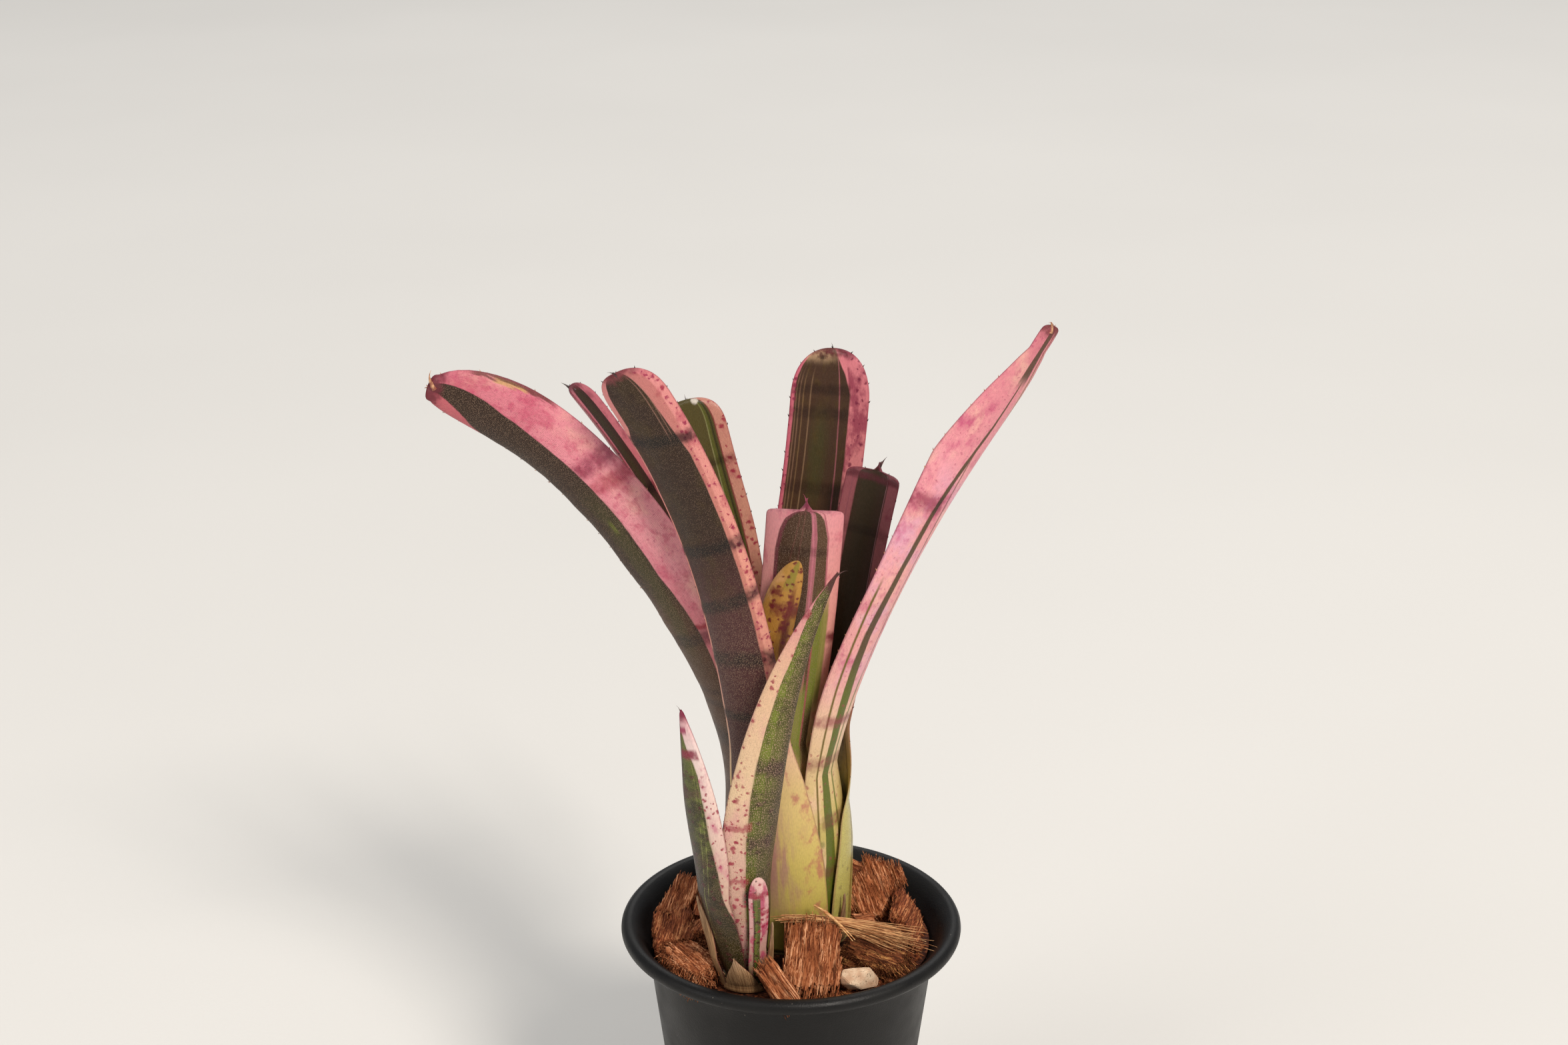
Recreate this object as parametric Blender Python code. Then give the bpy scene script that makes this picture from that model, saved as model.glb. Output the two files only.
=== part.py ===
"""A young neoregelia bromeliad with one pup, standing in its round nursery pot.

The origin is the centre of the pot's underside, +Z is up and the front is -Y.
Sizes below are in millimetres; MM turns them into the scene's metres.
"""
import math
import random
from dataclasses import dataclass

import bmesh
import bpy
from mathutils import Euler, Vector

MM = 0.001
GAP = 0.3                   # left between touching pieces
SEAT_GAP = 0.4              # under a rough chip on the bed

# The pot: a thin tapered cup whose top flares to a rolled rim.
POT_HEIGHT = 88.0
POT_SIDES = 40
FOOT_RADIUS = 32.0
NECK_RADIUS = 42.2
NECK_HEIGHT = 79.5
WALL = 1.3
FLOOR = 2.0
RIM_RADIUS = 47.8           # to the middle of the rolled rim
RIM_ROLL = 2.2
DRAIN_RING = 24.0
DRAIN_RADIUS = 3.0
DRAIN_COUNT = 8
DRAIN_SIDES = 10
FOOT_CHAMFER = 1.2
FLARE = 1.8                 # the wall steps out by this above the neck
FLARE_HEIGHT = 3.0

# The potting mix: a low mound of fine husk under the loose chips.
MIX_EDGE = 80.8
MIX_CROWN = 83.8
MIX_CROWN_RADIUS = 22.0

# The two stems that the leaves stand on, and the runner that joins them.
LEAF_BASE = 84.0
MOTHER_BASE = (0.3, 2.0)
MOTHER_LEAN = (-0.055, 0.0)     # sideways for each millimetre up
MOTHER_STEM_RADIUS = 17.4
MOTHER_STEM_FOOT = 58.0
PUP_BASE = (-12.6, -26.0)
PUP_LEAN = (-0.10, 0.0)
PUP_STEM_RADIUS = 7.2
PUP_STEM_FOOT = 66.0
RUNNER_RADIUS = 3.2
RUNNER_HEIGHT = 72.5
RUNNER_SIDES = 12
STEM_SIDES = 24
STEM_DISC = 6.0             # depth of the disc that the sheaths stand on
STEM_TAPER = 0.5            # radius of the plug's foot, as a share of the disc's
SOCKET_REACH = 20.0         # a socket's cutter goes this far above the bed

# A leaf's midline and grid.
TUBE_STEPS = 20             # midline points inside the tube of sheaths
BLADE_STEPS = 60            # midline points on the blade
WINDOW = 2                  # midline points each side that its direction is taken over
LEAF_COLUMNS = 8
LONG_TAPER = 20.0           # a tip that tapers over more than this has only a short close end
SHORT_END = 10.0
END_SHARES = (0.5, 0.8, 0.95, 1.0)      # rows on the tip, as shares of its length
SHEATH_THICKNESS = 0.7
BLADE_THICKNESS = 1.2
MARGIN_THICKNESS = 0.5
LEAST_WIDTH = 0.5

# Where a leaf changes from sheath to blade, as (start, end) past the tube's mouth.
OPENING = (-4.0, 34.0)      # its curve opens out
WIDENING = (-4.0, 22.0)     # its width goes over
NECK_SPAN = (8.0, 55.0)     # a narrow neck fills out
WRAP_LOSS = 0.25            # of the angle that the sheath goes round, at its mouth
POINT_BULGE = 2.0           # how far a pointed scale's sides bulge before they meet

# Loose lumps and strands.
CHIP_ROUNDING = 0.2
CHIP_ROUGHNESS = 0.07
STRAND_ROWS = 8

# Colours and roughness that several pieces share.
POT_COLOUR = (0.012, 0.011, 0.010)
STEM_COLOUR = (0.35, 0.30, 0.14)
MIX_COLOUR = (0.10, 0.045, 0.02)
FIBRE_COLOUR = (0.45, 0.22, 0.09)
HUSK_COLOUR = (0.32, 0.11, 0.045)
DRY_COLOUR = (0.25, 0.14, 0.065)
LEAF_ROUGHNESS = 0.45
DRY_ROUGHNESS = 0.75


def smooth(value, low, high):
    """Goes from 0 at low to 1 at high along an S-shaped curve."""
    t = min(max((value - low) / (high - low), 0.0), 1.0)
    return t * t * (3.0 - 2.0 * t)


def mix(a, b, t):
    return a + (b - a) * t


def bezier(handles, t):
    """The point at share t of a curve that four points shape."""
    s = 1.0 - t
    weights = (s * s * s, 3 * s * s * t, 3 * s * t * t, t * t * t)
    return sum((h * w for h, w in zip(handles, weights)), Vector())


@dataclass
class Tube:
    """The round of nested sheaths that the leaves of one shoot form."""
    base: tuple             # x and y of its axis at the leaf base
    lean: tuple
    foot: float             # how much narrower it is at the leaf base
    neck: float             # how much narrower it is at its mouth
    belly: float            # height of its widest place
    mouth: float

    def axis(self, z):
        up = z - LEAF_BASE
        return Vector((self.base[0] + self.lean[0] * up, self.base[1] + self.lean[1] * up, z))

    def swell(self, z):
        if z < self.belly:
            return -self.foot * min((self.belly - z) / (self.belly - LEAF_BASE), 1.0) ** 1.3
        return -self.neck * smooth(z, self.belly, self.mouth)


MOTHER = Tube(MOTHER_BASE, MOTHER_LEAN, foot=2.2, neck=2.2, belly=114.0, mouth=146.0)
PUP = Tube(PUP_BASE, PUP_LEAN, foot=4.9, neck=0.0, belly=112.0, mouth=130.0)


@dataclass
class Leaf:
    """One leaf: a sheath that hugs the tube, then a blade along a curve of four points."""
    name: str
    tube: Tube
    ring: float             # radius of the sheath at the tube's belly
    azimuth: float          # where the sheath's middle faces: 0 is +X, 90 the back
    wrap: float             # half the angle that the sheath goes round, at its foot
    mouth: float            # height where the blade leaves the tube
    lift: tuple             # first, second and last point that shape the blade
    knee: tuple
    tip: tuple
    face: float             # where the blade's outer side faces, at the tip
    width: float            # of the blade, laid flat
    channel: float          # half the angle of the blade's cross-section
    rounding: float         # length of the tapering end
    bluntness: float        # 1 is a straight taper, 2 round, 4 nearly square
    colour: tuple
    twist: float = 0.0      # added towards the tip, degrees
    spine: float = 3.0      # length of the small point on the tip
    rows: int = 15
    neck: float = 1.0       # share of the width where the blade leaves the tube
    foot: float = LEAF_BASE
    cut: float = 0.0        # width that the blade still has at its very end
    pointed: bool = False   # narrows evenly from its foot to its tip


MOTHER_LEAVES = [
    Leaf("leaf_front_banded", MOTHER, 19.0, 253, 56, 133, (-12, -18, 172), (-18, -24, 222),
         (-46, -31, 265), 250, 19.0, 32, 12, 2.4, (0.055, 0.032, 0.021)),
    Leaf("leaf_right_back", MOTHER, 19.0, 37, 86, 126, (13.5, 9.9, 163), (19, 15.6, 195),
         (25, 20, 221), 60, 18.0, 34, 3.5, 4.0, (0.045, 0.036, 0.028), neck=0.54),
    Leaf("leaf_left_long", MOTHER, 17.4, 210, 56, 130, (-15.5, -5, 178), (-54, -12, 247),
         (-96, -24, 259), 262, 20.5, 34, 36, 2.2, (0.50, 0.20, 0.20), rows=18, cut=7.0),
    Leaf("leaf_right_long", MOTHER, 17.4, 338, 58, 138, (18, -6, 175), (41, -8, 220),
         (70, -8, 271), 342, 26.0, 66, 45, 1.15, (0.60, 0.24, 0.26), twist=-35, rows=18, cut=6.5),
    Leaf("leaf_left_narrow", MOTHER, 15.8, 168, 62, 144, (-17.5, 2.7, 177), (-37, 3, 221),
         (-61, 5, 250), 172, 14.0, 34, 9, 2.4, (0.03, 0.022, 0.015), neck=0.66),
    Leaf("leaf_yellow_small", MOTHER, 15.8, 262, 28, 150, (-7, -12, 168), (-6, -12, 190),
         (2, -12, 205), 268, 10.5, 34, 16, 1.8, (0.58, 0.35, 0.06), spine=1.0, rows=12),
    Leaf("leaf_back_tall", MOTHER, 14.2, 78, 70, 148, (1.3, 23.4, 172), (11, 30, 213),
         (12, 38, 251), 84, 24.0, 34, 15, 2.2, (0.20, 0.12, 0.07), neck=0.55),
    Leaf("leaf_front_blunt", MOTHER, 14.2, 275, 70, 148, (0, -9, 170), (3, -6, 195),
         (4, -4, 217), 272, 23.0, 34, 3.5, 4.0, (0.16, 0.10, 0.06), spine=4.0),
    Leaf("leaf_back_left", MOTHER, 12.6, 128, 80, 152, (-10.2, 17.8, 172), (-22, 22, 204),
         (-30, 27, 239), 105, 20.0, 32, 10, 2.6, (0.13, 0.12, 0.03), neck=0.6),
]

PUP_LEAVES = [
    Leaf("pup_leaf_small", PUP, 11.8, 298, 22, 96, (-9.0, -35.4, 104), (-8.8, -36.2, 111),
         (-9.4, -36.8, 120.5), 285, 6.4, 34, 20, 1.6, (0.40, 0.30, 0.16), spine=1.0, rows=9),
    Leaf("pup_leaf_left", PUP, 10.6, 212, 62, 112, (-25.0, -30.5, 130), (-26.3, -30.6, 150),
         (-30.4, -29, 168), 234, 18.5, 44, 55, 1.25, (0.13, 0.12, 0.03), spine=1.5, rows=12),
    Leaf("pup_leaf_tall", PUP, 9.4, 297, 72, 112, (-11.8, -32.3, 142), (-5, -28, 178),
         (12.5, -23, 206), 280, 18.5, 42, 84, 1.2, (0.32, 0.27, 0.12), spine=2.0, rows=15),
]

# Dry scale leaves, papery and pointed, round the foot of each shoot.
BRACTS = [
    Leaf("pup_bract_left", PUP, 13.0, 204, 20, 92, (-22.9, -29.4, 97), (-25.0, -29.2, 104),
         (-26.5, -29.0, 110.5), 222, 2.6, 25, 14, 1.2, DRY_COLOUR, spine=0.8, rows=8, foot=82.6),
    Leaf("pup_bract_front", PUP, 13.7, 262, 42, 85, (-14.2, -36.2, 87), (-15.0, -36.7, 90.0),
         (-16.2, -37.0, 95.0), 260, 12.5, 66, 9, 1.2, DRY_COLOUR, spine=0.5, rows=9, foot=82.6,
         pointed=True),
    Leaf("pup_bract_right", PUP, 13.0, 318, 14, 89, (-5.8, -31.8, 94), (-5.4, -32.0, 99),
         (-5.4, -32.4, 104), 316, 2.4, 25, 12, 1.2, DRY_COLOUR, spine=0.5, rows=7, foot=82.8,
         pointed=True),
    Leaf("mother_bract", MOTHER, 20.1, 322, 7, 89, (15.0, -9.9, 93), (15.4, -10.1, 97),
         (15.4, -10.4, 101), 322, 2.2, 12, 10, 1.2, DRY_COLOUR, spine=0.5, rows=7, foot=84.9,
         pointed=True),
]


@dataclass
class Chip:
    """A loose lump of husk or stone: length runs with its fibres."""
    name: str
    size: tuple             # length, width and thickness
    place: tuple            # x and y; its height comes from the bed that it lies on
    turn: tuple             # degrees about x, y and z
    seed: int
    colour: tuple = HUSK_COLOUR
    roughness: float = 0.9


CHIPS = [
    Chip("husk_front_centre", (19.5, 15.2, 4.6), (5.8, -28.4), (0, -38, 90), 1),
    Chip("husk_front_left", (12.5, 4.0, 3.0), (-3.7, -38.3), (35, 48, -30), 2),
    Chip("husk_right_back", (16.0, 10.5, 6.0), (25.0, 9.5), (10, -36, 62), 3),
    Chip("husk_right_wall", (16.0, 12.0, 3.2), (34.0, -2.0), (58, 0, 84), 4),
    Chip("husk_right_small", (5.0, 4.0, 3.6), (20.9, -0.8), (0, 10, 20), 5),
    Chip("husk_right_front", (15.0, 9.5, 6.0), (24.0, -20.6), (0, 8, -24), 6, (0.20, 0.07, 0.03)),
    Chip("husk_left_back", (13.0, 8.0, 6.4), (-32.2, 8.5), (0, -24, 62), 7),
    Chip("husk_left", (12.0, 10.0, 6.5), (-34.2, -9.6), (0, -12, 100), 8),
    Chip("husk_left_inner", (9.0, 5.6, 6.0), (-25.2, 2.6), (0, -16, 80), 9),
    Chip("husk_left_middle", (8.0, 6.0, 5.5), (-25.2, -9.4), (0, 10, 96), 10),
    Chip("husk_left_front", (12.0, 7.4, 5.5), (-28.4, -23.8), (0, -8, 128), 11, (0.36, 0.13, 0.05)),
    Chip("husk_back_left", (17.0, 10.0, 6.0), (-16.5, 28.0), (0, 6, 30), 12),
    Chip("husk_back", (14.0, 8.5, 6.0), (2.0, 31.5), (0, -7, -4), 13),
    Chip("husk_back_right", (13.0, 9.0, 5.5), (19.0, 26.5), (0, 7, -36), 14),
    Chip("stone", (10.5, 5.8, 6.0), (19.4, -32.4), (0, 12, 29), 15, (0.58, 0.45, 0.34), 0.8),
]


@dataclass
class Strand:
    """Loose fibres: a flattened taper along a curve of four points."""
    name: str
    points: tuple
    half_widths: tuple      # at the start, middle and end
    half_heights: tuple
    sides: int


STRANDS = [
    Strand("fibre_bundle", ((-4.6, -19.4, 97.6), (8.0, -18.2, 98.8), (20.0, -20.2, 95.4),
                            (37.0, -19.6, 90.6)), (1.2, 1.5, 3.2), (1.0, 1.0, 0.9), 8),
    Strand("fibre_straw", ((4.5, -17.8, 102.2), (9.0, -19.4, 101.6), (13.0, -22.4, 99.0),
                           (18.5, -24.6, 93.2)), (0.5, 0.45, 0.35), (0.5, 0.45, 0.35), 6),
]


def midline_in_tube(leaf, z):
    angle = math.radians(leaf.azimuth)
    radius = leaf.ring + leaf.tube.swell(z)
    return leaf.tube.axis(z) + Vector((math.cos(angle), math.sin(angle), 0.0)) * radius


def midline(leaf):
    """Points from the sheath's foot to the blade's end, and the distance along to each."""
    points = []
    for i in range(TUBE_STEPS):
        points.append(midline_in_tube(leaf, mix(leaf.foot, leaf.mouth, i / TUBE_STEPS)))
    handles = [midline_in_tube(leaf, leaf.mouth)]
    handles += [Vector(leaf.lift), Vector(leaf.knee), Vector(leaf.tip)]
    for i in range(BLADE_STEPS + 1):
        points.append(bezier(handles, i / BLADE_STEPS))
    distances = [0.0]
    for a, b in zip(points, points[1:]):
        distances.append(distances[-1] + (b - a).length)
    return points, distances


def along(points, distances, where):
    """The point and the direction at a distance along the midline."""
    last = len(points) - 1
    i = 0
    while i < last - 1 and distances[i + 1] < where:
        i += 1
    t = (where - distances[i]) / (distances[i + 1] - distances[i])
    before = points[max(i - WINDOW, 0)]
    after = points[min(i + 1 + WINDOW, last)]
    return points[i].lerp(points[i + 1], t), (after - before).normalized()


def leaf_rows(leaf, length):
    """Distances of the grid's rows, closer together towards the tip."""
    end = SHORT_END if leaf.rounding > LONG_TAPER else leaf.rounding
    body = length - end
    even = leaf.rows - len(END_SHARES)
    rows = [body * i / (even - 1) for i in range(even)]
    return rows + [body + end * share for share in END_SHARES]


def blade_width(leaf, where, length, sheath):
    """Width of the blade at a distance along the leaf: a narrow neck, then the rounded tip."""
    x = max(where - (length - leaf.rounding), 0.0) / leaf.rounding
    taper = max(1.0 - x ** leaf.bluntness, 0.0) ** (1.0 / leaf.bluntness)
    width = leaf.width * taper * mix(leaf.neck, 1.0, smooth(where - sheath, *NECK_SPAN))
    return max(width, leaf.cut)


def leaf_axes(leaf, direction, where, length, sheath):
    """The way the leaf's outer face looks, and the way across it."""
    turned = smooth(where, sheath * 0.8, mix(sheath, length, 0.6))
    facing = math.radians(mix(leaf.azimuth, leaf.face, turned))
    out = Vector((math.cos(facing), math.sin(facing), 0.0))
    upright = Vector((0.0, 0.0, 1.0))
    direction = upright.lerp(direction, smooth(where, sheath * 0.4, sheath + 12.0)).normalized()
    out = (out - direction * out.dot(direction)).normalized()
    across = direction.cross(out)
    twist = math.radians(leaf.twist) * smooth(where, length * 0.55, length)
    return (out * math.cos(twist) + across * math.sin(twist),
            across * math.cos(twist) - out * math.sin(twist))


def leaf_section(leaf, points, distances, where):
    """Centre, radius, half-angle and axes of the arc that the leaf is, across."""
    length = distances[-1]
    sheath = distances[TUBE_STEPS]
    point, direction = along(points, distances, where)
    wrap = math.radians(leaf.wrap) * (1.0 - WRAP_LOSS * min(where / sheath, 1.0) ** 2)
    hug = leaf.ring + leaf.tube.swell(min(point.z, leaf.mouth))
    flat_radius = leaf.width / (2.0 * math.radians(leaf.channel))
    radius = mix(hug, flat_radius, smooth(where - sheath, *OPENING))
    width = mix(2.0 * hug * wrap, blade_width(leaf, where, length, sheath),
                smooth(where - sheath, *WIDENING))
    if leaf.pointed:
        width *= max(1.0 - (where / length) ** POINT_BULGE, 0.0)
    half_angle = max(width, LEAST_WIDTH) / (2.0 * radius)
    out, across = leaf_axes(leaf, direction, where, length, sheath)
    return point - out * radius, radius, half_angle, out, across


def leaf_mesh(leaf):
    points, distances = midline(leaf)
    length = distances[-1]
    sheath = distances[TUBE_STEPS]
    verts = []
    rows = leaf_rows(leaf, length)
    for where in rows:
        centre, radius, half_angle, out, across = leaf_section(leaf, points, distances, where)
        blade = smooth(where - sheath, *OPENING)
        thickness = mix(SHEATH_THICKNESS, BLADE_THICKNESS, blade)
        for side in (1.0, -1.0):
            for i in range(LEAF_COLUMNS + 1):
                u = 2.0 * i / LEAF_COLUMNS - 1.0
                thick = mix(thickness, MARGIN_THICKNESS, abs(u) ** 3)
                ray = out * math.cos(u * half_angle) + across * math.sin(u * half_angle)
                verts.append(centre + ray * (radius + side * thick / 2.0))
    tip, direction = along(points, distances, length)
    verts.append(tip + direction * leaf.spine)
    return verts, sheet_faces(len(rows), LEAF_COLUMNS)


def sheet_faces(rows, columns):
    """Faces of a thick sheet: each row is its outer points, then its inner ones.

    Its edges are closed, and its last row closes on one more point, the spine.
    """
    faces = []
    stride = 2 * (columns + 1)
    inner = columns + 1
    for r in range(rows - 1):
        a = r * stride
        b = a + stride
        for c in range(columns):
            faces.append((a + c, a + c + 1, b + c + 1, b + c))
            faces.append((a + inner + c + 1, a + inner + c, b + inner + c, b + inner + c + 1))
        faces.append((a + inner, a, b, b + inner))
        faces.append((a + columns, a + inner + columns, b + inner + columns, b + columns))
    for c in range(columns):
        faces.append((c + 1, c, inner + c, inner + c + 1))
    top = (rows - 1) * stride
    point = rows * stride
    for c in range(columns):
        faces.append((top + c, top + c + 1, point))
        faces.append((top + inner + c + 1, top + inner + c, point))
    faces.append((top + inner, top, point))
    faces.append((top + columns, top + inner + columns, point))
    return faces


def bed_profile():
    """The top of the mix as (radius, height) pairs, from the wall to the crown."""
    return [(pot_wall_radius(MIX_EDGE, WALL + GAP), MIX_EDGE),
            (mix(MIX_CROWN_RADIUS, NECK_RADIUS, 0.5), mix(MIX_EDGE, MIX_CROWN, 0.6)),
            (MIX_CROWN_RADIUS, MIX_CROWN)]


def bed_height(radius):
    """Height of the mix at a distance from the pot's axis."""
    edge, slope, crown = bed_profile()
    if radius < crown[0]:
        return crown[1]
    if radius < slope[0]:
        return mix(crown[1], slope[1], (radius - crown[0]) / (slope[0] - crown[0]))
    return mix(slope[1], edge[1], min((radius - slope[0]) / (edge[0] - slope[0]), 1.0))


def chip_mesh(chip):
    """A rough block with rounded corners, its fibres along x."""
    chance = random.Random(chip.seed)
    grid = bmesh.new()
    bmesh.ops.create_cube(grid, size=2.0)
    bmesh.ops.subdivide_edges(grid, edges=grid.edges[:], cuts=2, use_grid_fill=True)
    turn = Euler([math.radians(a) for a in chip.turn]).to_matrix()
    verts = []
    for vertex in grid.verts:
        p = vertex.co
        rounded = p * (1.0 - CHIP_ROUNDING + CHIP_ROUNDING / p.length)
        rough = Vector([chance.uniform(-CHIP_ROUGHNESS, CHIP_ROUGHNESS) for _ in range(3)])
        local = Vector([(c + r) * side / 2.0 for c, r, side in zip(rounded, rough, chip.size)])
        verts.append(turn @ local + Vector((*chip.place, 0.0)))
    drop = min(v.z - bed_height(v.xy.length) for v in verts) - SEAT_GAP
    for vert in verts:
        vert.z -= drop
    faces = [tuple(v.index for v in face.verts) for face in grid.faces]
    grid.free()
    return verts, faces


def strand_mesh(strand):
    """A flattened tube along a curve, closed by a point at each end."""
    handles = [Vector(p) for p in strand.points]
    rows = STRAND_ROWS
    centres = [bezier(handles, i / rows) for i in range(rows + 1)]
    verts = []
    for i in range(1, rows):
        t = i / rows
        direction = (centres[i + 1] - centres[i - 1]).normalized()
        side = direction.cross(Vector((0.0, 0.0, 1.0))).normalized()
        up = side.cross(direction)
        width = three_point(strand.half_widths, t)
        height = three_point(strand.half_heights, t)
        for k in range(strand.sides):
            angle = 2.0 * math.pi * k / strand.sides
            verts.append(centres[i] + side * (width * math.cos(angle)) + up * (height * math.sin(angle)))
    first = len(verts)
    verts += [centres[0], centres[-1]]
    faces = []
    last_ring = (rows - 2) * strand.sides
    for k in range(strand.sides):
        j = (k + 1) % strand.sides
        faces.append((first, k, j))
        faces.append((first + 1, last_ring + j, last_ring + k))
        for row in range(rows - 2):
            a = row * strand.sides
            b = a + strand.sides
            faces.append((a + k, b + k, b + j, a + j))
    return verts, faces


def three_point(values, t):
    """Runs through three values at the start, middle and end."""
    if t < 0.5:
        return mix(values[0], values[1], t * 2.0)
    return mix(values[1], values[2], t * 2.0 - 1.0)


def material(name, colour, roughness):
    made = bpy.data.materials.new(name)
    made.use_nodes = True
    shader = made.node_tree.nodes["Principled BSDF"]
    shader.inputs["Base Color"].default_value = (*colour, 1.0)
    shader.inputs["Roughness"].default_value = roughness
    shader.inputs["Metallic"].default_value = 0.0
    return made


def add_object(name, verts, faces, colour, roughness, smoothly=True):
    """A named object from millimetre points, with a material of its own."""
    mesh = bpy.data.meshes.new(name)
    mesh.from_pydata([Vector(v) * MM for v in verts], [], faces)
    if smoothly:
        mesh.shade_smooth()
        mesh.set_sharp_from_angle(angle=math.radians(40))
    mesh.materials.append(material(name, colour, roughness))
    made = bpy.data.objects.new(name, mesh)
    bpy.context.scene.collection.objects.link(made)
    return made


def turned(profile, sides, centre=(0.0, 0.0)):
    """Points and faces of a profile of (radius, height) pairs, turned about an upright axis.

    The profile starts and ends on the axis, and runs up the outside.
    """
    verts = [(centre[0], centre[1], profile[0][1])]
    for radius, height in profile[1:-1]:
        for i in range(sides):
            angle = 2.0 * math.pi * i / sides
            verts.append((centre[0] + radius * math.cos(angle),
                          centre[1] + radius * math.sin(angle), height))
    verts.append((centre[0], centre[1], profile[-1][1]))
    faces = []
    rings = len(profile) - 2
    for i in range(sides):
        j = (i + 1) % sides
        faces.append((0, 1 + j, 1 + i))
        for ring in range(rings - 1):
            a = 1 + ring * sides
            b = a + sides
            faces.append((a + i, a + j, b + j, b + i))
        last = 1 + (rings - 1) * sides
        faces.append((last + i, last + j, len(verts) - 1))
    return verts, faces


def cutter(name, verts, faces):
    """A shape that only cuts others: it is drawn as wire and never rendered."""
    made = add_object(name, verts, faces, POT_COLOUR, 0.5, smoothly=False)
    made.hide_render = True
    made.display_type = "WIRE"
    return made


def boolean(target, tool, operation):
    step = target.modifiers.new(operation.lower(), "BOOLEAN")
    step.operation = operation
    step.solver = "EXACT"
    step.object = tool


def pot_wall_radius(height, inset=0.0):
    """Outer radius of the pot's wall at a height, less an inset."""
    return mix(FOOT_RADIUS, NECK_RADIUS, height / NECK_HEIGHT) - inset


def make_pot():
    outside = [(0.0, 0.0), (FOOT_RADIUS - FOOT_CHAMFER, 0.0),
               (pot_wall_radius(FOOT_CHAMFER), FOOT_CHAMFER), (NECK_RADIUS, NECK_HEIGHT),
               (NECK_RADIUS + FLARE, NECK_HEIGHT + FLARE_HEIGHT)]
    roll = []
    for degrees in range(-150, 121, 45):
        angle = math.radians(degrees)
        roll.append((RIM_RADIUS + RIM_ROLL * math.cos(angle),
                     POT_HEIGHT - RIM_ROLL + RIM_ROLL * math.sin(angle)))
    inside = [(NECK_RADIUS + FLARE - 0.4, NECK_HEIGHT + FLARE_HEIGHT + WALL),
              (NECK_RADIUS - WALL, NECK_HEIGHT + 0.5),
              (pot_wall_radius(FLOOR, WALL), FLOOR), (0.0, FLOOR)]
    pot = add_object("pot", *turned(outside + roll + inside, POT_SIDES), POT_COLOUR, 0.5)
    hole = [(0.0, -1.0), (DRAIN_RADIUS, -1.0), (DRAIN_RADIUS, FLOOR + 1.0), (0.0, FLOOR + 1.0)]
    drains = ([], [])
    for i in range(DRAIN_COUNT):
        angle = 2.0 * math.pi * (i + 0.5) / DRAIN_COUNT
        centre = (DRAIN_RING * math.cos(angle), DRAIN_RING * math.sin(angle))
        verts, faces = turned(hole, DRAIN_SIDES, centre)
        offset = len(drains[0])
        drains[0].extend(verts)
        drains[1].extend(tuple(corner + offset for corner in face) for face in faces)
    boolean(pot, cutter("drain_holes", *drains), "DIFFERENCE")


def stem_profile(radius, foot, clearance):
    """A blunt rooting stem: a tapered plug under a disc. Clearance makes its socket."""
    top = LEAF_BASE - GAP + (SOCKET_REACH if clearance else 0.0)
    return [(0.0, foot - clearance), (radius * STEM_TAPER + clearance, foot - clearance),
            (radius + clearance, LEAF_BASE - STEM_DISC - clearance),
            (radius + clearance, top), (0.0, top)]


def runner(radius):
    """The short shoot between the two stems, as a straight round bar."""
    start = Vector((*PUP_BASE, RUNNER_HEIGHT))
    end = Vector((*MOTHER_BASE, RUNNER_HEIGHT))
    up = Vector((0.0, 0.0, 1.0))
    side = (end - start).normalized().cross(up)
    verts = [start]
    for point in (start, end):
        for i in range(RUNNER_SIDES):
            angle = 2.0 * math.pi * i / RUNNER_SIDES
            verts.append(point + (side * math.cos(angle) + up * math.sin(angle)) * radius)
    verts.append(end)
    faces = []
    for i in range(RUNNER_SIDES):
        near, near_next = 1 + i, 1 + (i + 1) % RUNNER_SIDES
        far, far_next = near + RUNNER_SIDES, near_next + RUNNER_SIDES
        faces.append((0, near, near_next))
        faces.append((near, far, far_next, near_next))
        faces.append((len(verts) - 1, far_next, far))
    return verts, faces


def make_stems_and_mix():
    """The two stems, and the bed with a socket for each and for the runner."""
    mother = turned(stem_profile(MOTHER_STEM_RADIUS, MOTHER_STEM_FOOT, 0.0), STEM_SIDES, MOTHER_BASE)
    add_object("mother_stem", *mother, STEM_COLOUR, 0.7)
    socket = cutter("mother_socket", *turned(
        stem_profile(MOTHER_STEM_RADIUS, MOTHER_STEM_FOOT, GAP), STEM_SIDES, MOTHER_BASE))
    pup = turned(stem_profile(PUP_STEM_RADIUS, PUP_STEM_FOOT, 0.0), STEM_SIDES, PUP_BASE)
    pup_stem = add_object("pup_stem", *pup, STEM_COLOUR, 0.7)
    boolean(pup_stem, cutter("runner_bar", *runner(RUNNER_RADIUS)), "UNION")
    boolean(pup_stem, socket, "DIFFERENCE")
    pup_socket = cutter("pup_socket", *turned(
        stem_profile(PUP_STEM_RADIUS, PUP_STEM_FOOT, GAP), STEM_SIDES, PUP_BASE))
    bed = [(0.0, FLOOR + GAP), (pot_wall_radius(FLOOR + GAP, WALL + GAP), FLOOR + GAP)]
    bed += bed_profile() + [(0.0, MIX_CROWN)]
    potting_mix = add_object("potting_mix", *turned(bed, POT_SIDES), MIX_COLOUR, 0.95)
    boolean(potting_mix, socket, "DIFFERENCE")
    boolean(potting_mix, pup_socket, "DIFFERENCE")
    boolean(potting_mix, cutter("runner_socket", *runner(RUNNER_RADIUS + GAP)), "DIFFERENCE")


for old in list(bpy.data.objects):
    bpy.data.objects.remove(old, do_unlink=True)

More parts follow.
